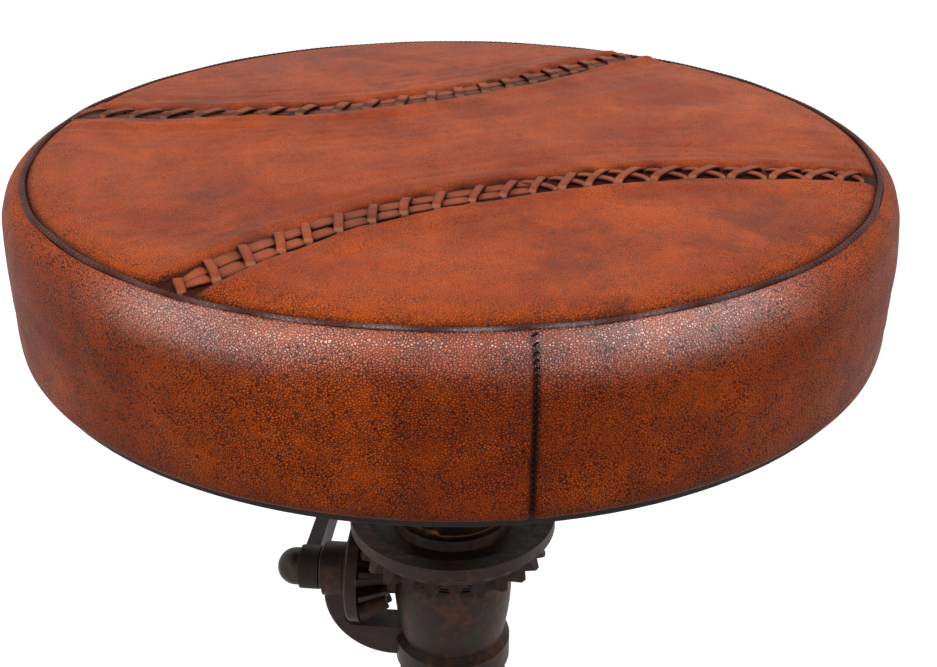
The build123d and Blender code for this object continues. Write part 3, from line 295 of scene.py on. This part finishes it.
def patina(name, base, rust, metallic, rough, cast, rust_share=0.5):
    """Dark iron or steel with cloudy rust; cast is how uneven its skin is."""
    g = material_graph(name)
    where = g.place()
    cloud = g.noise(38, 6, 0.65, where, 0.6)
    speck = g.noise(260, 4, 0.6, where)
    tone = g.math("MULTIPLY_ADD", speck, 0.35, g.math("MULTIPLY", cloud, 0.75))
    low = 0.72 - 0.35 * rust_share
    color = g.ramp(tone, [(low - 0.14, base), (low, tuple(0.6 * x for x in base)), (low + 0.16, rust)])
    lumps = g.noise(120, 4, 0.6, where)
    grit = g.noise(900, 3, 0.6, where)
    normal = g.bump(lumps, 0.5 * cast, 0.0012)
    normal = g.bump(grit, 0.35 * cast, 0.0003, normal)
    return g.principled(
        Base_Color=color,
        Metallic=metallic,
        Roughness=g.math("MULTIPLY_ADD", cloud, 0.35, rough - 0.15),
        Specular_IOR_Level=0.3,
        Normal=normal,
    )


def plain(name, color, rough, bump_scale=400, bump=0.1, gloss=0.4):
    """Cloth, foam, thread or rubber: one colour, a little mottled and rough."""
    g = material_graph(name)
    where = g.place()
    tone = g.noise(60, 4, 0.6, where)
    shade = g.ramp(tone, [(0.3, tuple(0.8 * x for x in color)), (0.7, tuple(1.15 * x for x in color))])
    normal = g.bump(g.noise(bump_scale, 3, 0.5, where), bump, 0.0005)
    return g.principled(Base_Color=shade, Roughness=rough, Normal=normal, Specular_IOR_Level=gloss)


def wood(name, light, dark, rough):
    """Wood whose grain runs along x."""
    g = material_graph(name)
    mapping = g.node("ShaderNodeMapping", {"Vector": g.place(), "Scale": (6.0, 90.0, 90.0)})
    grain = g.noise(4, 6, 0.6, mapping.outputs[0], 1.5)
    color = g.ramp(grain, [(0.35, dark), (0.65, light)])
    normal = g.bump(grain, 0.15, 0.0006)
    return g.principled(Base_Color=color, Roughness=rough, Normal=normal, Coat_Weight=0.15)


def make_materials():
    """The materials of the record's slots, and the piping's and the thread's, by name."""
    recipes = {
        "leather": (leather, rgb(216, 92, 20), rgb(172, 66, 18), rgb(58, 22, 19)),
        "lacing": (leather, rgb(184, 80, 34), rgb(140, 56, 26), rgb(60, 26, 20), 0.5, 0.50, 0.12),
        "piping": (leather, rgb(86, 34, 24), rgb(62, 24, 19), rgb(28, 11, 10), 0.5, 0.38, 0.08),
        "thread": (plain, rgb(34, 16, 14), 0.7, 400, 0.1, 0.1),
        "foam": (plain, rgb(214, 205, 176), 0.9),
        "plywood": (wood, rgb(196, 160, 112), rgb(160, 122, 80), 0.6),
        "lining": (plain, rgb(32, 30, 29), 0.9, 1600, 0.5),
        "plate_steel": (patina, rgb(36, 26, 24), rgb(58, 40, 32), 0.2, 0.60, 0.3),
        "cast_iron": (patina, rgb(56, 40, 37), rgb(98, 58, 38), 0.35, 0.50, 1.0, 0.45),
        "dark_steel": (patina, rgb(46, 35, 32), rgb(76, 50, 38), 0.25, 0.58, 0.35, 0.35),
        "fastener_steel": (patina, rgb(70, 58, 54), rgb(92, 62, 46), 0.7, 0.44, 0.3, 0.3),
        "bronze": (patina, rgb(84, 60, 42), rgb(112, 78, 46), 0.8, 0.48, 0.4),
        "grip_wood": (wood, rgb(112, 62, 34), rgb(62, 34, 22), 0.42),
        "glide_rubber": (plain, rgb(34, 34, 34), 0.7),
    }
    return {name: make(name, *values) for name, (make, *values) in recipes.items()}


# Seat: courses of the laced seams, from the seat's centre
FRONT_SEAM = (
    (-0.0920, -0.1450), (-0.0886, -0.1420), (-0.0815, -0.1355), (-0.0764, -0.1305), (-0.0683, -0.1212),
    (-0.0583, -0.1118), (-0.0494, -0.1038), (-0.0391, -0.0954), (-0.0268, -0.0878), (-0.0151, -0.0814),
    (-0.0028, -0.0757), (0.0108, -0.0699), (0.0220, -0.0652), (0.0333, -0.0610), (0.0432, -0.0570),
    (0.0519, -0.0534), (0.0659, -0.0492), (0.0812, -0.0463), (0.0958, -0.0438), (0.1114, -0.0421),
    (0.1289, -0.0410), (0.1444, -0.0403), (0.1560, -0.0400), (0.1640, -0.0398),
)
REAR_SEAM = (
    (-0.1645, 0.0412), (-0.1603, 0.0398), (-0.1392, 0.0343), (-0.1214, 0.0305), (-0.0951, 0.0276),
    (-0.0696, 0.0282), (-0.0528, 0.0312), (-0.0359, 0.0364), (-0.0231, 0.0420), (-0.0058, 0.0508),
    (0.0121, 0.0622), (0.0308, 0.0778), (0.0507, 0.0976), (0.0664, 0.1140), (0.0795, 0.1278),
    (0.0900, 0.1395),
)
# Straps of the front seam: way along it, lean along it and length across it
FRONT_STRAPS = (
    (0.0065, 0.0027, 0.0068), (0.0190, 0.0068, 0.0149), (0.0330, 0.0076, 0.0147), (0.0470, 0.0080, 0.0132),
    (0.0585, 0.0080, 0.0130), (0.0715, 0.0080, 0.0126), (0.0855, 0.0080, 0.0128), (0.0985, 0.0076, 0.0120),
    (0.1115, 0.0080, 0.0118), (0.1265, 0.0098, 0.0122), (0.1390, 0.0104, 0.0118), (0.1510, 0.0104, 0.0120),
    (0.1630, 0.0112, 0.0120), (0.1750, 0.0130, 0.0120), (0.1880, 0.0136, 0.0120), (0.2030, 0.0140, 0.0112),
    (0.2180, 0.0140, 0.0110), (0.2340, 0.0145, 0.0106), (0.2500, 0.0134, 0.0100), (0.2635, 0.0124, 0.0090),
    (0.2750, 0.0096, 0.0072),
)
# Outline of the side band, radius and height from the seam above it
BAND_OUTLINE = (
    (0.1714, -0.0012), (0.1742, -0.0024), (0.1769, -0.0050), (0.1790, -0.0119), (0.1797, -0.0230),
    (0.1800, -0.0350), (0.1797, -0.0490), (0.1791, -0.0605), (0.1784, -0.0645), (0.1764, UNDERSIDE),
)


def ways_along(line):
    """The way from a line's start to each of its points."""
    return np.r_[0, np.cumsum(np.hypot(*np.diff(line, axis=0).T))]


def resample(line, ways, places):
    return np.c_[np.interp(places, ways, line[:, 0]), np.interp(places, ways, line[:, 1])]


def smooth_line(points, step=0.001, softness=12):
    """The points' line, evenly spaced and smoothed, as an array."""
    line = np.array(points, float)
    ways = ways_along(line)
    line = resample(line, ways, np.linspace(0, ways[-1], int(ways[-1] / step)))
    weights = np.hanning(2 * softness + 1)
    weights /= weights.sum()
    before = 2 * line[0] - line[softness:0:-1]
    after = 2 * line[-1] - line[-2 : -softness - 2 : -1]
    padded = np.vstack([before, line, after])
    return np.c_[np.convolve(padded[:, 0], weights, "valid"), np.convolve(padded[:, 1], weights, "valid")]


class Seam:
    """A laced seam's line, with the distance and the way along it of any point."""

    def __init__(self, points):
        self.line = smooth_line(points)
        self.along = ways_along(self.line)
        self.length = self.along[-1]
        tangent = np.gradient(self.line, axis=0)
        self.tangent = tangent / np.linalg.norm(tangent, axis=1)[:, None]
        self.normal = np.c_[-self.tangent[:, 1], self.tangent[:, 0]]

    def measure(self, xy, reach=0.09, batch=20000):
        """Signed distance (positive on the far side) and way along, for an array of points."""
        distance = np.full(len(xy), 1.0)
        way = np.zeros(len(xy))
        inside = (xy > self.line.min(axis=0) - reach) & (xy < self.line.max(axis=0) + reach)
        near = np.where(inside.all(axis=1))[0]
        for start in range(0, len(near), batch):
            chosen = near[start : start + batch]
            offsets = xy[chosen][:, None, :] - self.line[None, :, :]
            index = (offsets**2).sum(2).argmin(1)
            offset = offsets[np.arange(len(chosen)), index]
            sideways = (offset * self.normal[index]).sum(1)
            beyond = np.abs((offset * self.tangent[index]).sum(1))
            distance[chosen] = np.sign(sideways) * np.hypot(sideways, beyond)
            way[chosen] = self.along[index]
        return distance, way

    def at(self, way):
        """Point, tangent and normal at a way along the seam."""
        point = np.array([np.interp(way, self.along, self.line[:, k]) for k in (0, 1)])
        tangent = np.array([np.interp(way, self.along, self.tangent[:, k]) for k in (0, 1)])
        tangent /= np.linalg.norm(tangent)
        return point, tangent, np.array([-tangent[1], tangent[0]])


def noise_field(points, scale, seed):
    """Smooth noise from -1 to 1 at each point; scale is the size of its lumps."""
    offset = Vector((seed * 7.13, seed * 3.71, seed * 5.37))
    factors = Vector((1, 1, 1)) / scale
    return np.array([noise.noise(Vector(p) * factors + offset) for p in points])


def bell(offset, width):
    """1 where the offset is 0, and near 0 beyond two widths on either side."""
    return np.exp(-((offset / width) ** 2))


def falloff(offset, width):
    """1 where the offset is well below 0, and 0 where it is well above."""
    return 1 / (1 + np.exp(np.clip(offset / width, -500, 500)))


def turn_from(angle, middle):
    """The turn from a middle angle, from -pi to pi."""
    return np.angle(np.exp(1j * (angle - middle)))


def dome_height(radius):
    """Height of the top above the welt: a shallow dome that turns down in its last millimetres."""
    share = min(radius / RIM_R, 1.0)
    return CROWN * (1 - 0.86 * share**2) - (CROWN * 0.14 + 0.0012) * share**60


def top_height(x, y):
    return WELT_Z + dome_height(math.hypot(x, y))


def profile_points():
    """The cushion's closed outline from the top's middle to the underside's, as (radius, height, part)."""
    points = []
    for radius in np.r_[np.linspace(0, 0.162, 135)[:-1], np.linspace(0.162, RIM_R, 14)[:-1]]:
        points.append((radius, dome_height(radius), TOP))
    for t in np.linspace(0, 1, 6)[:-1]:
        points.append((RIM_R + 0.0030 * t, -0.0012 - 0.0016 * math.sin(math.pi * t), RIM))
    soft_from = len(points) + 2
    outer = np.array(BAND_OUTLINE)
    ways = ways_along(outer)
    for radius, height in resample(outer, ways, np.linspace(0, ways[-1], 66)):
        points.append((radius, height, BAND))
    soft_to = len(points) - 2
    for radius in (0.172, 0.165, 0.150, 0.10, 0.05, 0.0):
        points.append((radius, UNDERSIDE, UNDER))
    profile = np.array(points)
    # a short running mean softens the corners of the band's outline
    for _ in range(2):
        for values in (profile[:, 0], profile[:, 1]):
            mean = (np.roll(values, 1) + values * 2 + np.roll(values, -1)) / 4
            values[soft_from:soft_to] = mean[soft_from:soft_to]
    return profile


def seam_relief(place, seam, number):
    """Rise and painted shade near a laced seam: its groove, the puffed sides and the gathers that run into
    it.
    """
    distance, way = seam.measure(place[:, :2])
    size = np.abs(distance)
    share = way / seam.length
    half = GROOVE_HALF - 0.0020 * np.clip(share - 0.5, 0, 1) * 2
    groove = falloff(size - half, 0.0005) * 0.0011
    shoulder = bell(size - half - 0.0060, 0.0050) * 0.0010
    valley = bell(size - half - 0.0008, 0.0016) * 0.0010
    fan = np.exp(-(np.clip(size - 0.007, 0, 1) / 0.024)) * (size > 0.007)
    near_side = 1 + 0.9 * (distance < 0) * bell(share - 0.30, 0.22)
    along = np.c_[way / 0.034, distance / 0.0060, np.full(len(way), number * 9.0)]
    across = np.c_[way / 0.0085, distance / 0.020, np.full(len(way), number * 5.0)]
    gather = noise_field(across, 1.0, 8)
    ripple = noise_field(along, 1.0, 5) * 0.0014 * fan * near_side + gather * 0.0005 * fan
    # painted shade: the groove's floor, a dark edge beside it that reaches further on the near side, and a
    # faint darkening along the seam
    dirt_and_shade = falloff(size - half - 0.0003, 0.0004) * 0.85
    reach = np.where(distance < 0, 0.0034, 0.0020)
    dirt_and_shade += bell(np.clip(size - half, 0, 1), reach) * np.clip(0.62 + 0.9 * gather, 0, 1)
    dirt_and_shade += bell(size, 0.016) * 0.14 * (1 + 1.2 * gather)
    return -groove + shoulder - valley + ripple, dirt_and_shade


def top_relief(place, radius, seams):
    """Rise of the three top panels, and the painted shade along their laced seams."""
    x, y = place[:, 0], place[:, 1]
    # low swells over the whole top, dying out at the welt, and soft folds across the middle panel
    swell = noise_field(place, 0.075, 1) * 0.0009 + noise_field(place, 0.028, 2) * 0.00040
    turned = np.c_[(x * 0.80 + y * 0.60) / 0.110, (y * 0.80 - x * 0.60) / 0.017, x * 0]
    middle = bell(x - 0.075, 0.075) * bell(y - 0.045, 0.050)
    rise = (swell + noise_field(turned, 1.0, 21) * 0.0018 * middle) * np.clip((WELT_R - radius) / 0.03, 0, 1)
    dirt_and_shade = np.zeros(len(place))
    for number, seam in enumerate(seams):
        seam_rise, seam_shade = seam_relief(place, seam, number)
        rise += seam_rise * np.clip((WELT_R - radius) / 0.006, 0, 1)
        dirt_and_shade += seam_shade
    return rise, dirt_and_shade


def band_relief(angle, height, radius):
    """How far the side band stands out; its dark joint, smears and painted shade; its wax tone with painted
    light; and its polish areas.
    """
    down = np.clip(-height / BAND_FALL, 0, 1)
    # gentle waves and horizontal drag lines; their noise is read on a circle, so that it closes on itself
    circle = np.c_[np.cos(angle), np.sin(angle)]
    out = noise_field(np.c_[circle * 3.2, height / 0.030], 1.0, 11) * 0.0010 * np.sin(math.pi * down) ** 0.5
    out += noise_field(np.c_[circle * 6.0, height / 0.0060], 1.0, 12) * 0.00030 * np.clip(down * 1.6, 0, 1)

    # the sewn joint at the front
    off = turn_from(angle, JOINT_ANGLE) * radius
    groove = bell(off, 0.0008)
    puff = bell(np.abs(off) - 0.0036, 0.0026)
    hole = bell(np.abs(off) - 0.0011, 0.0007)
    pucker = np.cos(height / PUCKER_PITCH * 2 * math.pi)
    live = np.clip(down * 14, 0, 1)
    out += (-groove * 0.0017 + puff * 0.0005 * (0.7 + 0.3 * pucker)) * live
    dirt_and_shade = (groove + hole * (0.5 + 0.5 * pucker) * 0.55) * live + np.exp(-(np.abs(off) / 0.004)) * 0.15

    # smears; darker towards the bottom; and a dark line at the top, painted shade under the welt cord
    smear = noise_field(np.c_[circle * 3.0, height / 0.012], 1.0, 17)
    dirt_and_shade += np.clip(smear, 0, 1) * 0.55 * np.sin(math.pi * down)
    dirt_and_shade += np.clip((down - 0.80) / 0.20, 0, 1) ** 2 * 0.30
    dirt_and_shade += np.exp(-(down / 0.012)) * 0.7
    # a real wax tone over the band, with painted light that grows towards the shoulder
    wax_and_light = 0.34 + np.exp(-(down / 0.16)) * 0.5

    # the shoulder is rubbed to a shine at the front, most of all in a place on each side of the joint
    front = np.exp(-((turn_from(angle, FRONT + 0.08) / 0.62) ** 4))
    turn = turn_from(angle, FRONT)
    lobes = bell(turn + 0.50, 0.26) * 0.8 + bell(turn - 0.44, 0.22)
    rub = noise_field(np.c_[circle * 3.2 * 1.6, height / 0.016], 1.0, 31)
    spots = np.clip(1.0 + 1.2 * rub, 0.15, 1.1)
    polish = np.exp(-((down / 0.20) ** 3)) * np.clip(front * 0.30 + lobes, 0, 1) * spots
    return out, dirt_and_shade, wax_and_light, polish


def cushion_surface(seams):
    """Vertices, faces, and the areas of the whole cushion: dirt with painted shade, wax with painted light,
    polish, and painted sheen.
    """
    segments = 1200
    profile = profile_points()
    rings = profile[1:-1]
    radius, height, part = (np.repeat(rings[:, k], segments) for k in range(3))
    angle = np.tile(np.arange(segments) * 2 * math.pi / segments + 0.001, len(rings))
    place = np.c_[radius * np.cos(angle), radius * np.sin(angle), height]
    rise, out, dirt_and_shade, polish = (np.zeros(len(angle)) for _ in range(4))
    top, band, upper = part == TOP, part == BAND, part <= RIM

    rise[top], dirt_and_shade[top] = top_relief(place[top], radius[top], seams)
    dirt_and_shade += bell(radius - 0.1690, 0.0018) * upper * (0.9 + 0.3 * np.cos(angle * 700))
    # painted light: a brighter, purer orange ring on the top near the welt, where less sheen shows
    wax_and_light = bell(radius - 0.168, 0.013) * upper
    out[band], dirt_and_shade[band], wax_and_light[band], polish[band] = band_relief(angle[band], height[band], radius[band])
    # painted sheen: the top's pale haze, fading out at the welt
    painted_sheen = np.clip((WELT_R - radius) / 0.02, 0, 1) * top

    # the rings' vertices, then the middle of the top and of the underside
    outward = radius + out
    vertices = np.c_[outward * np.cos(angle), outward * np.sin(angle), WELT_Z + height + rise]
    top_middle = (0, 0, WELT_Z + profile[0, 1] + rise[:segments].mean())
    under_middle = (0, 0, WELT_Z + profile[-1, 1])
    vertices = np.vstack([vertices, top_middle, under_middle])
    base = np.arange(segments)
    ahead = (base + 1) % segments
    faces = []
    for k in range(len(rings) - 1):
        a, b = k * segments, (k + 1) * segments
        faces += np.c_[a + base, b + base, b + ahead, a + ahead].tolist()
    last = (len(rings) - 1) * segments
    centre, under = len(angle), len(angle) + 1
    faces += [(centre, i, j) for i, j in zip(base.tolist(), ahead.tolist())]
    faces += [(under, last + j, last + i) for i, j in zip(base.tolist(), ahead.tolist())]
    areas = {"dirt_and_shade": dirt_and_shade, "wax_and_light": wax_and_light, "polish": polish, "painted_sheen": painted_sheen}
    return vertices, faces, {area: np.r_[values, 0, 0] for area, values in areas.items()}


def make_piece(name, vertices, faces, material, areas=None, body="seat"):
    """A smooth-shaded mesh that rides on a body."""
    mesh = bpy.data.meshes.new(name)
    mesh.from_pydata([tuple(v) for v in vertices], [], faces)
    mesh.validate()
    mesh.polygons.foreach_set("use_smooth", [True] * len(mesh.polygons))
    for area, values in (areas or {}).items():
        layer = mesh.attributes.new(area, "FLOAT", "POINT")
        layer.data.foreach_set("value", np.clip(values, 0, 1).astype(np.float32))
    mesh.materials.append(material)
    piece = bpy.data.objects.new(name, mesh)
    bpy.context.scene.collection.objects.link(piece)
    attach(piece, body)
    return piece


def tube_faces(steps, around):
    """Faces of a closed tube of so many sections, with a cap at each end."""
    faces = []
    for k in range(steps - 1):
        for i in range(around):
            j = (i + 1) % around
            faces.append((k * around + i, k * around + j, (k + 1) * around + j, (k + 1) * around + i))
    faces.append(tuple(range(around - 1, -1, -1)))
    faces.append(tuple((steps - 1) * around + i for i in range(around)))
    return faces


def sweep(path, up, sections):
    """Sweeps a closed section along a path; sections gives (sideways, up) points per step."""
    path = np.array(path)
    tangent = np.gradient(path, axis=0)
    tangent /= np.linalg.norm(tangent, axis=1)[:, None]
    side = np.cross(tangent, np.tile(np.array(up, float), (len(path), 1)))
    side /= np.linalg.norm(side, axis=1)[:, None]
    above = np.cross(side, tangent)
    vertices = []
    for k, section in enumerate(sections):
        vertices.extend(path[k] + side[k] * across + above[k] * high for across, high in section)
    return vertices, tube_faces(len(path), len(sections[0]))


class Swept:
    """Several swept pieces in one mesh."""

    def __init__(self):
        self.vertices = []
        self.faces = []

    def add(self, path, up, sections):
        vertices, faces = sweep(path, up, sections)
        base = len(self.vertices)
        self.vertices.extend(vertices)
        self.faces.extend(tuple(i + base for i in face) for face in faces)


def rounded_section(width, thick, corners, power):
    """A closed super-ellipse section; a high power makes it flat and soft-edged."""
    points = []
    for turn in np.arange(corners * 4) * 2 * math.pi / (corners * 4):
        c, s = math.cos(turn), math.sin(turn)
        x = math.copysign(abs(c) ** (2 / power), c) * width / 2
        y = math.copysign(abs(s) ** (2 / power), s) * thick / 2
        points.append((x, y))
    return points


def make_lacing(name, seam, seed, straps, nodes, width=STRAP_WIDTH, near_shade=0.0, cross_from=1.0):
    """Flat straps laced across a seam, over two strands as far as cross_from along it, and crossed past it.

    near_shade is how much darker the near side is painted: a painted shade.
    """
    rng = np.random.default_rng(seed)
    laced = Swept()
    dirt_and_shade, wear_and_highlight = [], []
    steps = np.linspace(-1, 1, 19)
    # the straps are darker towards their edges
    edges = [max(0, abs(across) - 0.60) * 2.6 for across, _ in rounded_section(2, 2, 4, 5.0)]

    for (way, lean, across), (next_way, next_lean, next_across) in zip(straps, straps[1:]):
        if way > cross_from:
            break
        for side in (-1, 1):
            path, sections = [], []
            mid = side * STRAND_MIDDLE
            first = way + lean * mid + STRAND_GAP
            last = next_way + next_lean * mid - STRAND_GAP
            lift = rng.normal(0, 0.00012)
            for t in steps:
                share = (t + 1) / 2
                wide = across + (next_across - across) * share
                point, _, normal = seam.at(first + (last - first) * share)
                x, y = point + normal * (wide * mid * (1 - 0.10 * t**4))
                arch = 0.0004 * (1 - t**4) + lift
                path.append((x, y, top_height(x, y) - 0.0010 + arch))
                narrowed = (wide * STRAND_WIDTH) * (1 - 0.22 * t**6)
                sections.append(rounded_section(narrowed, STRAP_THICK, 4, 6.0))
            laced.add(path, (0, 0, 1), sections)
            # painted shade on the near strand, and a little on the far one
            shade = near_shade if side < 0 else near_shade * 0.2
            # painted shade darkens the strands towards their ends, where they run under the straps
            dirt_and_shade += [edge * 0.85 + 0.85 * abs(t) ** 4 + shade for t in steps for edge in edges]
            wear_and_highlight += [0.12 * (1 - abs(t)) for t in steps for _ in edges]

    upper = [(way, lean, across, 0.0) for way, lean, across in straps]
    lower = [(way, -lean, across * 0.94, CROSSING_SUNK) for way, lean, across, _ in upper if way > cross_from]
    for way, lean, across, sunk in lower + upper:
        wide = width + rng.normal(0, 0.00018)
        bow = rng.normal(0, 0.0003)
        path, sections = [], []
        for t in steps:
            point, tangent, normal = seam.at(min(max(way + lean * t * 0.5, 0.001), seam.length - 0.001))
            x, y = point + normal * across / 2 * t + tangent * bow * (1 - t * t)
            arch = (1 - abs(t) ** 4.0) * STRAP_ARCH - 0.0012 * (abs(t) > 0.96)
            path.append((x, y, top_height(x, y) - 0.0003 + arch - sunk))
            sections.append(rounded_section(wide * (1 - 0.08 * t * t), STRAP_THICK, 4, 5.0))
        laced.add(path, (0, 0, 1), sections)
        # painted shade darkens the straps' far ends, where they dive into the leather
        dirt_and_shade += [edge * 0.85 + 0.35 * (t > 0.8) + near_shade * (t < -0.35) for t in steps for edge in edges]
        # pale lower cut ends, partly a painted highlight where the end bends down into the light
        wear_and_highlight += [(t < -0.86) * 0.45 + 0.06 for t in steps for _ in edges]

    areas = {"dirt_and_shade": np.array(dirt_and_shade), "wear_and_highlight": np.array(wear_and_highlight)}
    piece = make_piece(name, laced.vertices, laced.faces, materials["lacing"], areas)
    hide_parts(*nodes)


def rear_straps(length, pitch=0.0140):
    """Straps of the far seam, evenly spaced, less and less slanted along it."""
    rng = np.random.default_rng(4)
    straps = []
    way = 0.006
    while way < length - 0.004:
        lean = 0.0110 - 0.0075 * way / length
        place = way + rng.normal(0, 0.0003)
        straps.append((place, lean + rng.normal(0, 0.0005), 0.0118 + rng.normal(0, 0.0004)))
        way += pitch
    return straps


def make_welt():
    """The corded seam round the top, finely ribbed."""
    around, along = 12, 2160
    turn = np.arange(along) * 2 * math.pi / along
    cord = CORD_R * (1 + 0.07 * np.cos(turn * 410))
    wander = 0.00035 * np.sin(turn * 9 + 1) + 0.00025 * np.sin(turn * 23)
    vertices = []
    for k in range(along):
        for i in range(around):
            a = 2 * math.pi * i / around
            r = WELT_R + wander[k] + cord[k] * math.cos(a)
            z = WELT_Z - CORD_DROP + cord[k] * math.sin(a)
            vertices.append((r * math.cos(turn[k]), r * math.sin(turn[k]), z))
    faces = []
    for k in range(along):
        n = (k + 1) % along
        for i in range(around):
            j = (i + 1) % around
            faces.append((k * around + i, n * around + i, n * around + j, k * around + j))
    polish = bell(turn_from(turn, FRONT), 0.8) * (0.22 + 0.18 * np.cos(turn * 37))
    areas = {"polish": np.repeat(polish, around)}
    piece = make_piece("seat_piping", vertices, faces, materials["piping"], areas)
    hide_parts("seat_welt")


def make_joint_stitches(surface):
    """Dark thread across the band's sewn joint, laid on the cushion's surface."""
    radii = np.hypot(surface[:, 0], surface[:, 1])
    off = (np.arctan2(surface[:, 1], surface[:, 0]) - JOINT_ANGLE) * BAND_R
    near = (np.abs(off) < 0.006) & (radii > 0.1725) & (surface[:, 2] > WELT_Z - 0.0655)
    off, radii, levels = off[near], radii[near], surface[near, 2] - WELT_Z
    outward = (math.cos(JOINT_ANGLE), math.sin(JOINT_ANGLE), 0)
    thread = rounded_section(THREAD, THREAD, 2, 2.0)
    stitches = Swept()
    for height in np.arange(-0.0020, -0.0640, -STITCH_PITCH):
        path = []
        for t in np.linspace(-1, 1, 5):
            sideways = t * STITCH_HALF
            reached = radii[((off - sideways) ** 2 + (levels - height) ** 2).argmin()]
            angle = JOINT_ANGLE + sideways / reached
            r = reached + 0.0004 * (1 - t * t) - 0.0002 * abs(t)
            path.append((r * math.cos(angle), r * math.sin(angle), WELT_Z + height + STITCH_LEAN * t))
        stitches.add(path, outward, [thread] * len(path))
    make_piece("band_stitches", stitches.vertices, stitches.faces, materials["thread"])


def make_screw():
    """The lift screw with its real helix and keyway."""
    low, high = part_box("lift_screw")
    crest, core, key_r = 0.0130, 0.0098, 0.0100
    pitch = 0.008
    thread_low, thread_high = 0.2355, 0.6161
    run_out = 0.003
    key_turn = math.asin(0.0030 / crest)
    key_at = math.pi * 2.5
    angles = list(np.linspace(math.pi / 2 + key_turn + 0.004, key_at - key_turn - 0.004, 60))
    keyway = len(angles)
    angles += [key_at - key_turn, key_at, key_at + key_turn]
    heights = [low.z] + list(np.arange(low.z + 0.001, high.z, 0.0005)) + [high.z]
    vertices = []
    for z in heights:
        for k, a in enumerate(angles):
            r = core
            if thread_low < z < thread_high:
                phase = ((z - thread_high) / pitch - a / (2 * math.pi)) % 1.0
                from_root = abs(phase - 0.5) * 2
                flank = np.clip((0.62 - from_root) / 0.24, 0, 1)
                ends = min(1, (z - thread_low) / run_out, (thread_high - z) / run_out)
                r = core + (crest - core) * flank * ends
            if k >= keyway:
                r = min(r, key_r)
            vertices.append((r * math.cos(a), r * math.sin(a), z))
    faces = tube_faces(len(heights), len(angles))
    piece = make_piece("screw_thread", vertices, faces, materials["dark_steel"])
    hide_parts("lift_screw")


def finish_cad_nodes():
    """Gives each CAD node its material, and breaks the sharp edges of the metal ones."""
    slots = {s["node"]: s["material_slot"] for s in frame["record"]["subparts"]}
    soft_edge = {"cast_iron": 0.0009, "dark_steel": 0.0004, "fastener_steel": 0.0004, "plate_steel": 0.0004}
    for name, node in frame["nodes"].items():
        slot = slots[name]
        node.data.materials.clear()
        node.data.materials.append(materials[slot])
        if "custom_normal" in node.data.attributes:
            node.data.attributes.remove(node.data.attributes["custom_normal"])
        node.data.polygons.foreach_set("use_smooth", [True] * len(node.data.polygons))
        weld = node.modifiers.new("weld", "WELD")
        weld.merge_threshold = 1e-6
        if slot in soft_edge:
            bevel = node.modifiers.new("bevel", "BEVEL")
            bevel.width = soft_edge[slot]
            bevel.segments = 2
            bevel.limit_method = "ANGLE"
            bevel.angle_limit = math.radians(32)
            bevel.use_clamp_overlap = True
            bevel.harden_normals = True
        weighted = node.modifiers.new("normals", "WEIGHTED_NORMAL")
        weighted.weight = 60


# Floor, world and lamps
def make_floor(size=12.0, glow=0.92):
    """A plain floor that glows only for the rays that show it as background."""
    g = material_graph("floor")
    strength = g.math("MULTIPLY", g.background_rays(), glow)
    diffuse = g.node("ShaderNodeBsdfDiffuse", {"Color": (0.4, 0.4, 0.4, 1)})
    light = g.node("ShaderNodeEmission", {"Color": (1, 1, 1, 1), "Strength": strength})
    both = g.node("ShaderNodeAddShader")
    g.tree.links.new(diffuse.outputs[0], both.inputs[0])
    g.tree.links.new(light.outputs[0], both.inputs[1])
    mesh = bpy.data.meshes.new("floor")
    corners = [(-size, -size, 0), (size, -size, 0), (size, size, 0), (-size, size, 0)]
    mesh.from_pydata(corners, [], [(0, 1, 2, 3)])
    mesh.materials.append(g.surface(both))
    floor = bpy.data.objects.new("floor", mesh)
    bpy.context.scene.collection.objects.link(floor)


def make_world(fill=0.30, white=1.0):
    """A white background that gives only a soft fill of light."""
    world = bpy.data.worlds.new("world")
    bpy.context.scene.world = world
    g = Graph(world, "ShaderNodeOutputWorld")
    level = g.node("ShaderNodeMapRange", {"Value": g.background_rays(), "To Min": fill, "To Max": white})
    inputs = {"Color": (1, 1, 1, 1), "Strength": level.outputs["Result"]}
    g.surface(g.node("ShaderNodeBackground", inputs))


def make_lamp(name, place, target, wide, deep, power):
    """A soft box of light that faces a target."""
    data = bpy.data.lights.new(name, "AREA")
    data.shape = "RECTANGLE"
    data.size = wide
    data.size_y = deep
    data.energy = power
    light = bpy.data.objects.new(name, data)
    light.location = place
    light.rotation_mode = "QUATERNION"
    light.rotation_quaternion = (Vector(target) - Vector(place)).to_track_quat("-Z", "Y")
    bpy.context.scene.collection.objects.link(light)


make_camera()
bpy.context.scene.view_settings.view_transform = "Standard"
materials = make_materials()
finish_cad_nodes()
seams = [Seam(FRONT_SEAM), Seam(REAR_SEAM)]
vertices, faces, areas = cushion_surface(seams)
cushion = make_piece("seat_cushion", vertices, faces, materials["leather"], areas)
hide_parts("top_panel_front", "top_panel_middle", "top_panel_rear", "side_band", "foam_pad")
make_lacing("laces_front", seams[0], 3, FRONT_STRAPS, ["front_lacing"], cross_from=0.145)
make_lacing("laces_rear", seams[1], 5, rear_straps(seams[1].length), ["rear_lacing"], width=0.0045, near_shade=0.7)
make_welt()
make_joint_stitches(vertices)
make_screw()
make_floor()
make_world()
make_lamp("key", (0.05, -0.78, 1.95), (0, -0.05, 0.70), wide=1.8, deep=0.28, power=19.8)
make_lamp("left", (-1.7, -0.6, 1.4), (0, 0, 0.6), wide=0.8, deep=0.8, power=2.5)
make_lamp("back", (0.2, 1.1, 2.3), (0, 0, 0.65), wide=1.2, deep=0.6, power=2.5)
